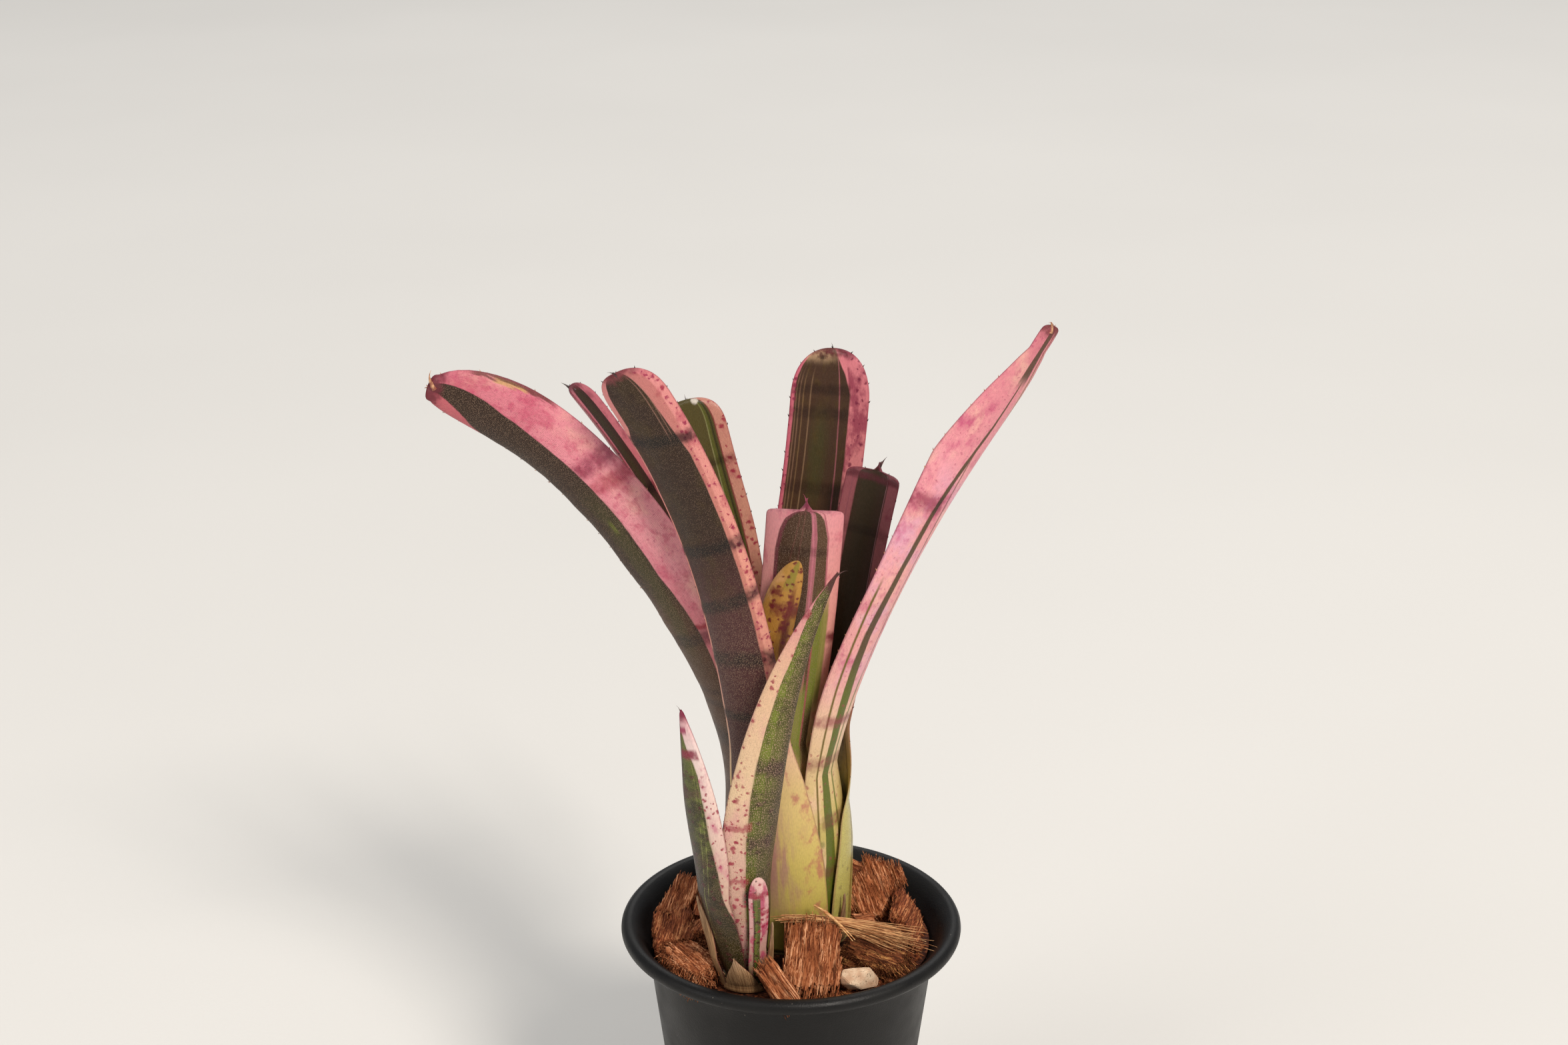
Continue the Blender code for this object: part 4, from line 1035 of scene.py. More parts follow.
s.spots("6a6a40", cell=5.0, share=0.3, low=10, high=50, strength=0.5)
s.stripe("423614", -0.1, 0.35, 0.9, low=182, wander=0.1, fade=3, soft=0.02)
s.stripe("8a3048", 0.9, 2.0, 0.6, low=90, wander=0.4)
s.spots("8a2c38", cell=1.8, size=0.42, left=0.76, low=120)
s.scales(0.16, cover=0.4, inside=0.05)
s.dry_tip(3.0, "7a3438")
s.grow((1.5, -1.0, 0.0), (0.5, -3.4, 1.0), gloss=0.4, ripple=1.0, hard=TAN_HORN)

# A narrow dark leaf stands inside the long left one.
leaf = Leaf(MOTHER, 15.8, 168, 62, 144, (-17.5, 2.7, 177), (-37, 3, 221), (-61, 5, 250), 172, 14.0,
            34, 9, 2.4, neck=0.66)
s = LeafSkin("leaf_left_narrow", 4, leaf)
s.ground((0, BASE_GREEN), (60, "c09880"), (90, "9c5450"), (150, "b8646c"), (177, "c06c78"))
s.mottle("7a3040", scale=0.3, strength=0.6)
s.stripe("281a10", [(60, -0.85), (140, -0.6), (170, -0.5)], [(60, 0.85), (140, 0.6), (170, 0.5)], 0.97,
         soft=0.02)
s.stripe("343018", -0.3, 0.2, 0.6, soft=0.2, wander=0.3, low=100)
s.band(BAND_TINT, 140, 2.0)
s.band(BAND_TINT, 118, 2.2)
s.scales(0.3)
s.dry_tip(2.0, "74323c")
s.grow((1.0, 0.0, 0.5), (2.2, 0.8, 1.0), gloss=0.34)

# A short yellow leaf stands in the mouth of the shoot.
leaf = Leaf(MOTHER, 15.8, 262, 28, 150, (-7, -12, 168), (-6, -12, 190), (2, -12, 205), 268, 10.5,
            34, 16, 1.8)
s = LeafSkin("leaf_yellow_small", 5, leaf)
s.ground((0, BASE_GREEN), (60, "b8a450"), (95, "b47e34"), (122, "c4944a"))
s.mottle("eeb88a", start=0.42, full=0.6, left=-1.0, right=0.2, strength=0.6)
s.stripe("6e2a20", 0.35, 0.66, 0.85, high=114, wander=0.3, soft=0.08)
s.stripe("82842c", -0.2, 0.4, 0.7, low=114, fade=2, wander=0.2, soft=0.08)
s.bar("6e2028", 112, 1.2, left=-0.85, right=-0.15)
s.bar("6e2028", 107.5, 2.2, left=-0.5, ragged=6.0)
s.bar("6e2028", 102, 1.8, left=0.1, right=0.55)
s.spots("6e2028", cell=2.0, share=0.7, size=0.48, left=-0.7)
s.scales(0.1, cover=0.3)
s.grow((0.3, 0.0, 0.0), (0.6, 0.0, 0.0), gloss=0.32, ribs=30.0, radius=0.3, hook=0.5)

# The tall back leaf is dark, with a cream end.
leaf = Leaf(MOTHER, 14.2, 78, 70, 148, (1.3, 23.4, 172), (11, 30, 213), (12, 38, 251), 84, 24.0,
            34, 15, 2.2, neck=0.55)
s = LeafSkin("leaf_back_tall", 6, leaf)
s.ground((0, BASE_GREEN), (60, "deb08a"), (100, "e29088"), (171, "dc808a"))
s.mottle("8c2c48", scale=0.2, start=0.42, full=0.62, strength=0.8, left=-1.0, right=-0.45)
s.stripe("34260f", [(60, -0.5), (158, -0.5), (164, -0.36), (168, -0.22)], 0.92, 0.97, soft=0.025)
s.stripe("3e441c", 0.0, 0.4, 0.5, low=126, high=152, fade=7, wander=0.3, soft=0.15)
s.mottle("4e3c18", scale=0.3, strength=0.5, left=-0.5, right=0.9)
s.line("b86a74", [(100, -0.36), (135, -0.3), (165, -0.2)], 0.02, 0.8)
for across, tint in ((0.5, "a88866"), (0.68, "94744e"), (0.78, "a07a60"), (0.86, "a07a60")):
    s.line(tint, across, 0.02, 0.6, high=163)
s.stripe("c05c70", 0.92, 2.0, 0.9)
s.band("6a4a44", 152, 1.6, 0.5, left=-0.5)
s.band("6a4a44", 159, 1.4, 0.5, left=-0.5)
s.band("7a5650", 130, 1.8, 0.4)
s.spots("7c2440", cell=2.2, share=0.6, size=0.42, left=-1.0, right=-0.62, low=100)
s.spots("7c2440", cell=2.0, share=0.6, size=0.42, left=0.88, low=100)
s.mottle("d8b48c", scale=0.35, start=0.36, full=0.56, left=-0.1, right=1.2, low=168, strength=0.9,
         soft=0.4, fade=2.6)
s.scales(0.4, cover=0.55, inside=0.12)
s.dry_tip(2.2, "6a2a30")
s.grow((0.8, 0.0, 0.0), (1.4, 0.6, -0.4), gloss=0.4, radius=0.6, hook=0.9)

# The blunt front leaf ends in a small beak.
leaf = Leaf(MOTHER, 14.2, 275, 70, 148, (0, -9, 170), (3, -6, 195), (4.2, -4.2, 220.5), 272, 23.0,
            34, 3.2, 4.5, beak=3.6)
s = LeafSkin("leaf_front_blunt", 7, leaf)
s.ground((0, BASE_GREEN), (62, "d2b474"), (85, "e2a28c"), (137, "e89ca4"))
s.mottle(MAGENTA, scale=0.3, full=0.7, strength=0.4)
left = [(60, -0.4), (115, -0.68), (122, -0.68), (128, -0.6), (131, -0.5), (133.4, -0.3), (136, 0.0)]
right = [(60, 0.15), (120, 0.17), (128, 0.17), (136, 0.1)]
s.stripe("3c2a12", left, right, 0.97, soft=0.02, low=60)
s.stripe("443414", [(100, 0.3), (126, 0.3), (136, 0.2)],
         [(110, 0.6), (126, 0.56), (131, 0.45), (134, 0.3)], 0.95, soft=0.02, low=60)
s.stripe("8c3a54", right, [(100, 0.3), (126, 0.3), (136, 0.2)], 0.7, low=60, soft=0.02)
s.stripe("8c3a54", left, [(v, u + 0.09) for v, u in left], 0.5, low=110)
s.line("c87888", [(100, 0.235), (122, 0.235), (136, 0.15)], 0.03, low=84)
s.line("a04a5c", [(100, 0.62), (126, 0.58), (132, 0.46)], 0.035, 0.8, low=84)
s.line("7c4a44", [(100, -0.28), (120, -0.3), (134, -0.1)], 0.02, 0.6, low=84)
s.line("7c4a44", [(100, -0.1), (120, -0.12), (134, 0.0)], 0.02, 0.6, low=84)
s.stripe("7c8630", 0.4, 0.75, 0.85, low=76, high=108, fade=5)
s.stripe("828c34", 0.15, 0.4, 0.85, high=82, low=60)
s.line("b04a5c", 0.4, 0.04, 0.8, low=64, high=100)
s.band("7c2840", 97, 1.4, left=0.75)
s.band(BAND_TINT, 122, 1.2, 0.5, left=-0.6, right=0.6)
s.scales(0.4, cover=0.55, left=left, right=0.6)
s.dry_tip(3.4, "8c3450")
s.grow((0.8, -0.4, 0.2), (1.4, -1.2, 0.6), ribs=60.0, radius=0.35, hook=0.45, hard=PINK_HORN)

# The sheath of the right back leaf is wide, and its foot is yellow-green.
leaf = Leaf(MOTHER, 19.0, 37, 86, 126, (13.5, 9.9, 163), (19, 15.6, 195), (25.2, 20.3, 222.5), 60,
            18.0, 34, 3.5, 4.0, neck=0.54, beak=2.6)
s = LeafSkin("leaf_right_back", 8, leaf)
s.ground((0, "b4ac56"), (45, "c4b668"), (75, "b47470"), (139, "905058"))
s.mottle("7c2c44", scale=0.25, strength=0.6, low=70)
s.stripe("362a1c", -0.55, 0.6, 0.97, low=55, fade=8)
s.stripe("30321a", -0.2, 0.5, 0.4, low=70, wander=0.3, soft=0.2)
s.line("a8707a", -0.5, 0.025, 0.8, low=60)
s.line("8a5058", 0.75, 0.04, low=60)
s.line("7a6a28", -0.62, 0.1, 0.8, high=70)
s.bar("5a2830", 135.5, 1.0, ragged=2.5)
s.band("8a6a6c", 120, 1.4, 0.4)
s.spots("7a6a48", cell=4.0, share=0.3, size=0.3, high=60, strength=0.45)
s.scales(0.3)
s.dry_tip(2.6, "6a2c38")
s.grow((1.2, -1.0, 0.0), (2.2, -2.2, -1.0), gloss=0.26, radius=0.6)

# The inner leaf at the left back is the greenest.
leaf = Leaf(MOTHER, 12.6, 128, 80, 152, (-10.2, 17.8, 172), (-22, 22, 204), (-30, 27, 239), 105,
            20.0, 32, 10, 2.6, neck=0.6)
s = LeafSkin("leaf_back_left", 9, leaf)
s.ground((0, BASE_GREEN), (70, CREAM), (100, "d49a80"), (159, "cc8c7c"))
s.mottle("b05058", scale=0.3, strength=0.5, left=-1.0, right=-0.66)
s.stripe("444418", -0.66, 0.9, 0.95, low=60, soft=0.02)
s.line("8a4040", -0.65, 0.03, low=80)
s.line("9c9c68", [(100, -0.36), (145, -0.4), (155, -0.42)], 0.03, 0.7, low=100)
s.line("2c3014", -0.55, 0.05, 0.8, low=90)
s.stripe("5c6424", -0.5, -0.42, 0.6, low=100)
s.spots("9c2840", cell=2.2, share=0.7, size=0.42, stretch=1.3, left=-1.0, right=-0.68, low=90)
s.band("7a4a48", 140, 1.4, 0.5)
s.scales(0.3, inside=0.06)
s.spots("efe6da", cell=5.0, size=0.3, low=156)
s.grow((0.8, 0.0, 0.0), (1.4, 0.0, 0.6), gloss=0.34, radius=0.5)


# The pup is a young offset on its own short stem in front of the mother shoot. Its leaves are
# narrower, cream and green, and thickly spotted with crimson towards their base.
CRIMSON = "96203c"

# The pup's tall leaf has a green side, a cream side and crimson spots.
leaf = Leaf(PUP, 9.4, 297, 72, 112, (-11.8, -32.3, 142), (-5, -28, 178), (12.5, -23, 206), 280,
            18.5, 42, 84, 1.2)
s = LeafSkin("pup_leaf_tall", 11, leaf)
s.ground((0, "a08068"), (25, "bc9480"), (40, "cea694"), (60, "e0c29c"), (95, "e2b896"), (110, "de9a94"),
         (127, "d88890"))
s.mottle("d89098", scale=0.14, start=0.45, full=0.7, strength=0.5)
edge = [(0, -0.2), (40, -0.2), (50, -0.22), (60, -0.25), (95, -0.25), (100, -0.17), (105, -0.25),
        (110, -0.4), (115, -0.65), (118, -0.9)]
s.stripe("565a1c", edge, 2.0, 0.98, soft=0.02)
s.stripe("707e22", -0.2, 0.16, 0.7, soft=0.08, wander=0.15, high=112)
s.mottle("3e3c12", scale=0.35, strength=0.6, left=-0.2, right=0.5)
s.stripe("382a14", 0.6, 2.0, 0.75, soft=0.2)
s.mottle("30260e", scale=0.25, start=0.45, full=0.66, strength=0.6, left=edge, stretch=1.0)
s.mottle("7c8c30", scale=0.2, start=0.52, full=0.7, strength=0.6, left=edge, right=0.4)
s.spots("3c1418", cell=2.4, share=0.55, size=0.4, stretch=1.6, left=edge, right=0.9, high=72,
        strength=0.85)
s.stripe("2c2410", edge, 2.0, 0.45, high=62, fade=14, soft=0.1, wander=0.3)
s.bar("34141e", 68, 2.2, 0.8, left=-0.26, right=0.85, ragged=3.5)
s.bar("34141e", 45.5, 1.8, 0.8, left=-0.15, right=0.65, ragged=3.5)
s.bar("34141e", 30, 2.0, 0.7, left=-0.3, right=0.6, tilt=3.0)
s.bar("34141e", 18, 1.8, 0.7, left=-0.2, tilt=3.0)
s.band("8a6a60", 88, 1.0, 0.5, left=-0.2)
s.spots(CRIMSON, cell=1.6, share=0.6, size=0.44, right=edge, high=66, fade=8)
s.spots(CRIMSON, cell=3.4, size=0.3, right=edge, high=60, fade=6)
s.spots(CRIMSON, cell=2.6, share=0.55, size=0.34, right=edge, low=60, strength=0.85)
s.bar(CRIMSON, 50, 0.9, 0.7, right=-0.1, ragged=6.0)
s.bar(CRIMSON, 34, 0.9, 0.7, right=-0.1, ragged=6.0)
s.bar(CRIMSON, 113, 1.3, right=-0.4)
s.spots("7a3a54", cell=6.0, share=0.6, size=0.2, low=88, high=100, fade=2, right=-0.3)
s.scales(0.85, cover=0.75, left=edge, low=30, fade=12, pitch=0.48)
s.scales(0.3, cover=0.6, right=edge, pitch=0.48)
s.dry_tip(6.0, "5a3030")
s.grow((1.4, 0.6, 0.4), (1.6, 2.2, 0.2), gloss=0.36, ribs=45.0, radius=0.45, hook=0.4, ripple=0.3)

# The pup's left leaf is dark with a cream edge and a rose end.
leaf = Leaf(PUP, 10.6, 212, 62, 112, (-25.0, -30.5, 130), (-26.3, -30.6, 150), (-30.4, -29, 168),
            234, 18.5, 44, 55, 1.25)
s = LeafSkin("pup_leaf_left", 12, leaf)
s.ground((0, "8a7650"), (20, "b8967c"), (40, "d8b4a4"), (62, "efd2c8"), (74, "f6dcd6"), (81, "f0c0c2"),
         (84, "a83c58"))
edge = [(0, 1.2), (22, 1.0), (30, 0.8), (38, 0.62), (47, 0.42), (59, 0.35), (66, 0.36), (70, 0.2),
        (74, -0.15), (79, -0.5), (83, -0.9)]
s.stripe("342c0c", -2.0, edge, 0.97)
s.stripe("66722a", -0.7, edge, 0.85, low=40, soft=0.15, fade=10, wander=0.2)
s.stripe("2e1414", -2.0, -0.1, 0.6, high=60, soft=0.4, wander=0.6, fade=14)
s.line("a0a45c", 0.08, 0.03, 0.8, low=14, high=72)
s.line("a0a45c", 0.27, 0.035, 0.8, low=30, high=68)
s.mottle("262008", scale=0.3, start=0.38, full=0.6, strength=0.85, stretch=1.2, right=edge, high=66,
         fade=10)
s.spots("4a141c", cell=2.2, share=0.6, size=0.44, stretch=1.6, right=edge, high=70, strength=0.8)
s.bar("8c1c3c", 72, 1.5, 0.95, left=-0.8, right=0.8, ragged=3.0)
s.bar("4a1c28", 60, 1.4, 0.6, right=0.3)
s.bar("3a141c", 40, 1.5, 0.6, right=0.4)
s.spots(CRIMSON, cell=1.8, share=0.6, size=0.44, left=edge, low=4, high=66)
s.mottle("c0587c", scale=0.3, strength=0.6, left=edge)
s.stripe("a8305a", -0.8, 0.3, 0.9, low=78.5, high=80.5, fade=0.8, wander=0.9)
s.scales(0.36, cover=0.58, right=edge, pitch=0.46)
s.dry_tip(2.5, "84304a")
s.grow((0.8, 0.0, 0.2), (1.4, -0.8, 0.5), gloss=0.3, ribs=40.0, radius=0.35, hook=0.3, ripple=0.2)

# The smallest leaf stands at the foot of the pup.
leaf = Leaf(PUP, 11.8, 298, 22, 96, (-9.0, -35.4, 104), (-8.8, -36.2, 111), (-9.4, -36.8, 120.5),
            285, 6.0, 34, 8, 2.1)
s = LeafSkin("pup_leaf_small", 13, leaf)
s.ground((0, "7e7c34"), (12, "b88c80"), (28, "d8a4a4"), (40, "e6bcb4"))
s.mottle("b03a60", scale=0.35, start=0.46, full=0.6, strength=0.8, stretch=0.5)
s.stripe("46501a", -0.55, 0.1, 0.96, soft=0.05, high=31, fade=2, wander=0.2)
s.stripe("6a742a", -0.4, -0.2, 0.6, high=31, soft=0.05)
s.stripe("2e1410", -0.6, -0.48, 0.7, high=31, wander=0.2)
s.bar(CRIMSON, 31, 0.9, 0.9, ragged=4.0)
s.bar(CRIMSON, 25, 0.9, 0.9, left=0.1, ragged=4.0)
s.spots(CRIMSON, cell=1.4, share=0.6, size=0.45, stretch=1.5)
s.spots("3c1418", cell=1.6, size=0.45, stretch=1.4, left=-0.55, right=0.1)
s.scales(left=-0.7, right=0.1)
s.grow((0.3, 0.0, 0.0), (0.6, 0.0, 0.0), gloss=0.28, ribs=18.0, radius=0.3, hook=0.0, ripple=0.1)


# Dry bracts are old scale leaves at the foot of each shoot: thin, papery and split along fine
# veins. They are brown and have no hooks.
BRACTS = [
    ("pup_bract_left", Leaf(PUP, 13.0, 204, 20, 92, (-22.9, -29.4, 97), (-25.0, -29.2, 104),
                            (-26.5, -29.0, 110.5), 222, 2.6, 25, 14, 1.2, foot=82.6)),
    ("pup_bract_front", Leaf(PUP, 13.7, 262, 42, 85, (-14.2, -36.2, 87), (-15.0, -36.7, 90.0),
                             (-16.2, -37.0, 95.0), 260, 12.5, 66, 9, 1.2, foot=82.6, pointed=True)),
    ("pup_bract_right", Leaf(PUP, 13.0, 318, 14, 89, (-5.8, -31.8, 94), (-5.4, -32.0, 99),
                             (-5.4, -32.4, 104), 316, 2.4, 25, 12, 1.2, foot=82.8, pointed=True)),
    ("mother_bract", Leaf(MOTHER, 20.1, 322, 7, 89, (15.0, -9.9, 93), (15.4, -10.1, 97),
                          (15.4, -10.4, 101), 322, 2.2, 12, 10, 1.2, foot=84.9, pointed=True))]


for number, (name, leaf) in enumerate(BRACTS):
    s = LeafSkin(name, 20 + number, leaf)
    s.ground((0, "94704a"), (leaf.length * 0.6, "b48c64"), (leaf.length, "d8b08a"))
    s.mottle("5c4028", scale=0.5, start=0.45, full=0.7, strength=0.5, stretch=0.15)
    veins = s.w.noise(s.flat * (3.2, 0.12, 1.0), 1.0, 3.0)
    s.lay(s.w.ramp(veins, 0.48, 0.6), "6a4628", 0.7)
    s.grow((0.3, 0.0, 0.0), (0.5, 0.0, 0.2), gloss=0.7, ribs=24.0, relief=0.0002, radius=0.12, hook=0.0)

# The husk chips are torn lumps of coconut husk that lie loose on the mix. Bundled fibres run
# lengthwise through each one, and stray ends stick out of its worn faces.
CHIP_ROUNDING = 0.2
HAIR_DENSITY, ROUGHNESS_MM = 800000.0, 1.9      # hairs on a square metre; the depth of the lumps
FRAYED_SHARE, HAIR_SHARE = 0.12, 0.36           # of the chip's length


def chip_tree():
    """A rough lump whose fibres run along x, turned and put in its place."""
    w, given, end = group("GeometryNodeTree", "husk_chip", {
        "Chip": [], "Half Size": (0.008, 0.005, 0.003), "Seed": 1, "Rough": 0.001, "Fray": 0.002,
        "Hairs": 100000.0, "Hair Length": 0.005, "Curl": 0.3, "Grain Turn": 0.0, "Place": ORIGIN,
        "Turn": ORIGIN, "Husk": ""}, {"Chip": []})
    cube = w.add("GeometryNodeMeshCube", {"Size": (2.0, 2.0, 2.0), "Vertices X": 44, "Vertices Y": 40,
                                          "Vertices Z": 20}, out="Mesh")
    where = w.add("GeometryNodeInputPosition")
    length = w.add("ShaderNodeVectorMath", {0: where}, operation="LENGTH", out="Value")
    pull = 1.0 - CHIP_ROUNDING + CHIP_ROUNDING / length
    shape = where * pull * given["Half Size"]
    lump = w.put(cube, shape)
    laid = w.add("ShaderNodeVectorRotate", {"Vector": where, "Angle": given["Grain Turn"]},
                 rotation_type="Z_AXIS")
    seeded = laid + w.xyz(given["Seed"] * 0.31, 0.0, 0.0)
    ridges = w.noise(seeded * (0.08, 1.0, 1.0), 700.0, 3.0, Roughness=0.65)
    bumps = w.noise(seeded * (0.6, 1.0, 1.0), 210.0, 3.0)
    push = bumps * 2.4 + ridges * 1.4
    normal = w.add("GeometryNodeInputNormal", out=0)
    rough = normal * ((push - 1.95) * given["Rough"])
    share = w.part(where, 0) / w.part(given["Half Size"], 0)
    at_end = abs(share) ** 5.0
    fray = w.noise(seeded * (0.02, 1.0, 1.0), 900.0, 3.0, Roughness=0.7)
    fray = (fray - 0.5) * at_end * given["Fray"]
    fray = fray * (w.math("SIGN", share) * 3.0)
    lump = w.moved(lump, rough + w.xyz(fray, 0.0, 0.0))
    grain = laid * 1000.0
    lump = w.smoothed(w.stored(lump, "grain", grain, "FLOAT_VECTOR"))
    roots, root_normal = w.add("GeometryNodeDistributePointsOnFaces", {
        "Mesh": lump, "Density": given["Hairs"], "Seed": given["Seed"]}, ("Points", "Normal"))
    jolt = w.chance((-0.5, -0.5, -0.5), (0.5, 0.5, 0.5), given["Seed"])
    lift = root_normal * 0.12
    lengthwise = w.add("ShaderNodeVectorRotate", {"Vector": (1.0, 0.0, 0.0),
                                                  "Angle": given["Grain Turn"] * -1.0},
                       rotation_type="Z_AXIS")
    way = lengthwise + jolt * given["Curl"] + lift
    turn = w.add("FunctionNodeAlignRotationToVector", {"Vector": way}, axis="Z")
    size = w.chance(0.35, 1.0, 4)
    hair = w.add("GeometryNodeMeshCylinder", {"Vertices": 3, "Side Segments": 3, "Radius": 0.017,
                                              "Depth": 1.0}, out="Mesh")
    up = w.part(where, 2)
    bow = (up * 2.0) ** 2.0 * given["Curl"]
    hair = w.moved(hair, w.xyz(bow * 0.4, 0.0, 0.0))
    scale = size * given["Hair Length"]
    hairs = w.add("GeometryNodeInstanceOnPoints", {
        "Points": roots, "Instance": hair, "Rotation": turn,
        "Scale": w.xyz(given["Hair Length"], given["Hair Length"], scale)})
    hairs = w.stored(w.realized(hairs), "grain", grain, "FLOAT_VECTOR")
    whole = w.joined([lump, hairs])
    whole = w.add("GeometryNodeTransform", {"Geometry": whole, "Translation": given["Place"],
                                            "Rotation": given["Turn"]})
    w.feed(end["Chip"], w.clad(w.realized(whole), given["Husk"]))
    return w.tree


# These husk finishes carry painted shade in the gaps and splits and painted highlights on the ridges.
RED_HUSK = husk_surface("red_husk", "5c2814", "b8653c", "e09c68", "grain")
DARK_HUSK = husk_surface("dark_husk", "4c2612", "a65e38", "d09a5c", "grain")
PALE_HUSK = husk_surface("pale_husk", "6c3018", "cc7a4a", "f0b488", "grain")

# name, size in mm, degrees about x, y and z, seed, roughness, hairs, curl, grain turn, husk
CHIPS = [
    ("husk_front_centre", (19.6, 15.8, 5.4), (0, -38, 90), 1, 1.1, 0.8, 0.1, 6, PALE_HUSK),
    ("husk_front_left", (14.0, 6.5, 3.6), (35, 48, -30), 2, 0.5, 1.3, 0.12, 0, PALE_HUSK),
    ("husk_right_back", (18.0, 12.0, 6.6), (10, -36, 62), 3, 1.1, 1.0, 0.16, -42, PALE_HUSK),
    ("husk_right_wall", (17.0, 13.0, 3.8), (58, 0, 84), 4, 0.6, 0.6, 0.1, 10, RED_HUSK),
    ("husk_right_small", (6.5, 5.0, 4.4), (0, 10, 20), 5, 0.6, 0.8, 0.3, 0, PALE_HUSK),
    ("husk_right_front", (16.5, 10.5, 6.6), (0, 8, -24), 6, 1.2, 1.8, 1.1, 0, DARK_HUSK),
    ("husk_left_back", (14.5, 9.0, 7.2), (0, -24, 62), 7, 1.0, 1.0, 0.16, -14, PALE_HUSK),
    ("husk_left", (13.5, 11.0, 7.4), (0, -12, 100), 8, 1.1, 1.0, 0.14, 18, RED_HUSK),
    ("husk_left_inner", (10.5, 7.0, 6.8), (0, -16, 80), 9, 1.0, 1.0, 0.3, 0, RED_HUSK),
    ("husk_left_middle", (9.5, 7.4, 6.4), (0, 10, 96), 10, 1.0, 1.0, 0.3, 20, PALE_HUSK),
    ("husk_left_front", (15.5, 10.0, 6.8), (0, -8, 128), 11, 1.3, 2.8, 1.5, 0, PALE_HUSK),
    ("husk_back_left", (18.0, 11.0, 6.8), (0, 6, 30), 12, 1.1, 0.8, 0.2, -10, RED_HUSK),
    ("husk_back", (15.0, 9.5, 6.8), (0, -7, -4), 13, 1.1, 0.8, 0.2, 12, DARK_HUSK),
    ("husk_back_right", (14.0, 10.0, 6.2), (0, 7, -36), 14, 1.0, 0.8, 0.2, 0, RED_HUSK)]

CHIP_TREE = chip_tree()


def empty(name):
    """A piece with nothing in it yet, for a tree to fill."""
    return place(name + "_seed", bpy.data.meshes.new(name))


for name, size, turn, seed, rough, hairs, curl, slant, husk in CHIPS:
    low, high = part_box(name)
    values = {"Half Size": tuple(s * MM / 2.0 for s in size), "Seed": seed,
              "Rough": rough * ROUGHNESS_MM * MM, "Fray": size[0] * FRAYED_SHARE * MM,
              "Hairs": hairs * HAIR_DENSITY, "Hair Length": size[0] * HAIR_SHARE * MM, "Curl": curl,
              "Grain Turn": math.radians(slant), "Place": tuple((low + high) / 2.0),
              "Turn": tuple(math.radians(a) for a in turn), "Husk": husk}
    keep(grown(name + "_torn", empty(name), CHIP_TREE, values), name, name)

# One pale stone lies against the front of the rim: a broken, water-worn pebble with a few flat
# faces.
STONE_SIZE, STONE_TURN = (12.6, 7.6, 7.6), (0, 12, 29)


def stone_surface():
    made, w, shader = new_material("pale_stone")
    place_mm = object_mm(w)
    veins = w.noise(place_mm, 0.35, 5.0, Roughness=0.65)
    colour = w.blend(w.ramp(veins, 0.35, 0.65), seen("c99f7e"), seen("ecd0b0"))
    colour = w.blend(w.ramp(w.noise(place_mm, 1.4, 4.0), 0.56, 0.72), colour, seen("8f6f55"))
    pits = w.noise(place_mm, 4.0, 4.0)
    finish_surface(w, shader, colour, w.ramp(veins, 0.3, 0.7, 0.6, 0.8), pits, 0.0003, 0.7)
    return made


def stone_mesh():
    chance = random.Random(15)
    low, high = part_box("stone")
    middle = (low + high) / 2.0
    turn = Euler([math.radians(a) for a in STONE_TURN]).to_matrix()
    shape = bmesh.new()
    for _ in range(26):
        way = Vector([chance.gauss(0.0, 1.0) for _ in range(3)]).normalized()
        blocky = way / max(abs(c) for c in way) * 0.4 + way * 0.55
        local = Vector([c * s / 2.0 for c, s in zip(blocky, STONE_SIZE)])
        shape.verts.new(middle + (turn @ local) * MM)
    bmesh.ops.convex_hull(shape, input=shape.verts[:])
    loose = [v for v in shape.verts if not v.link_faces]
    bmesh.ops.delete(shape, geom=loose, context="VERTS")
    bmesh.ops.bevel(shape, geom=shape.edges[:], offset=0.00035, segments=2, affect="EDGES",
                    clamp_overlap=True)
    bmesh.ops.triangulate(shape, faces=shape.faces[:])
    bmesh.ops.subdivide_edges(shape, edges=shape.edges[:], cuts=1, use_grid_fill=True)
    bmesh.ops.recalc_face_normals(shape, faces=shape.faces[:])
    mesh = as_mesh("stone", shape)
    mesh.shade_smooth()
    mesh.set_sharp_from_angle(angle=math.radians(30))
    mesh.materials.append(stone_surface())
    return mesh


keep(place("stone_pebble", stone_mesh()), "stone", "stone")

# A loose bundle of coconut fibres lies across the front of the mother shoot and fans out over
# the husk. A bent straw crosses it.


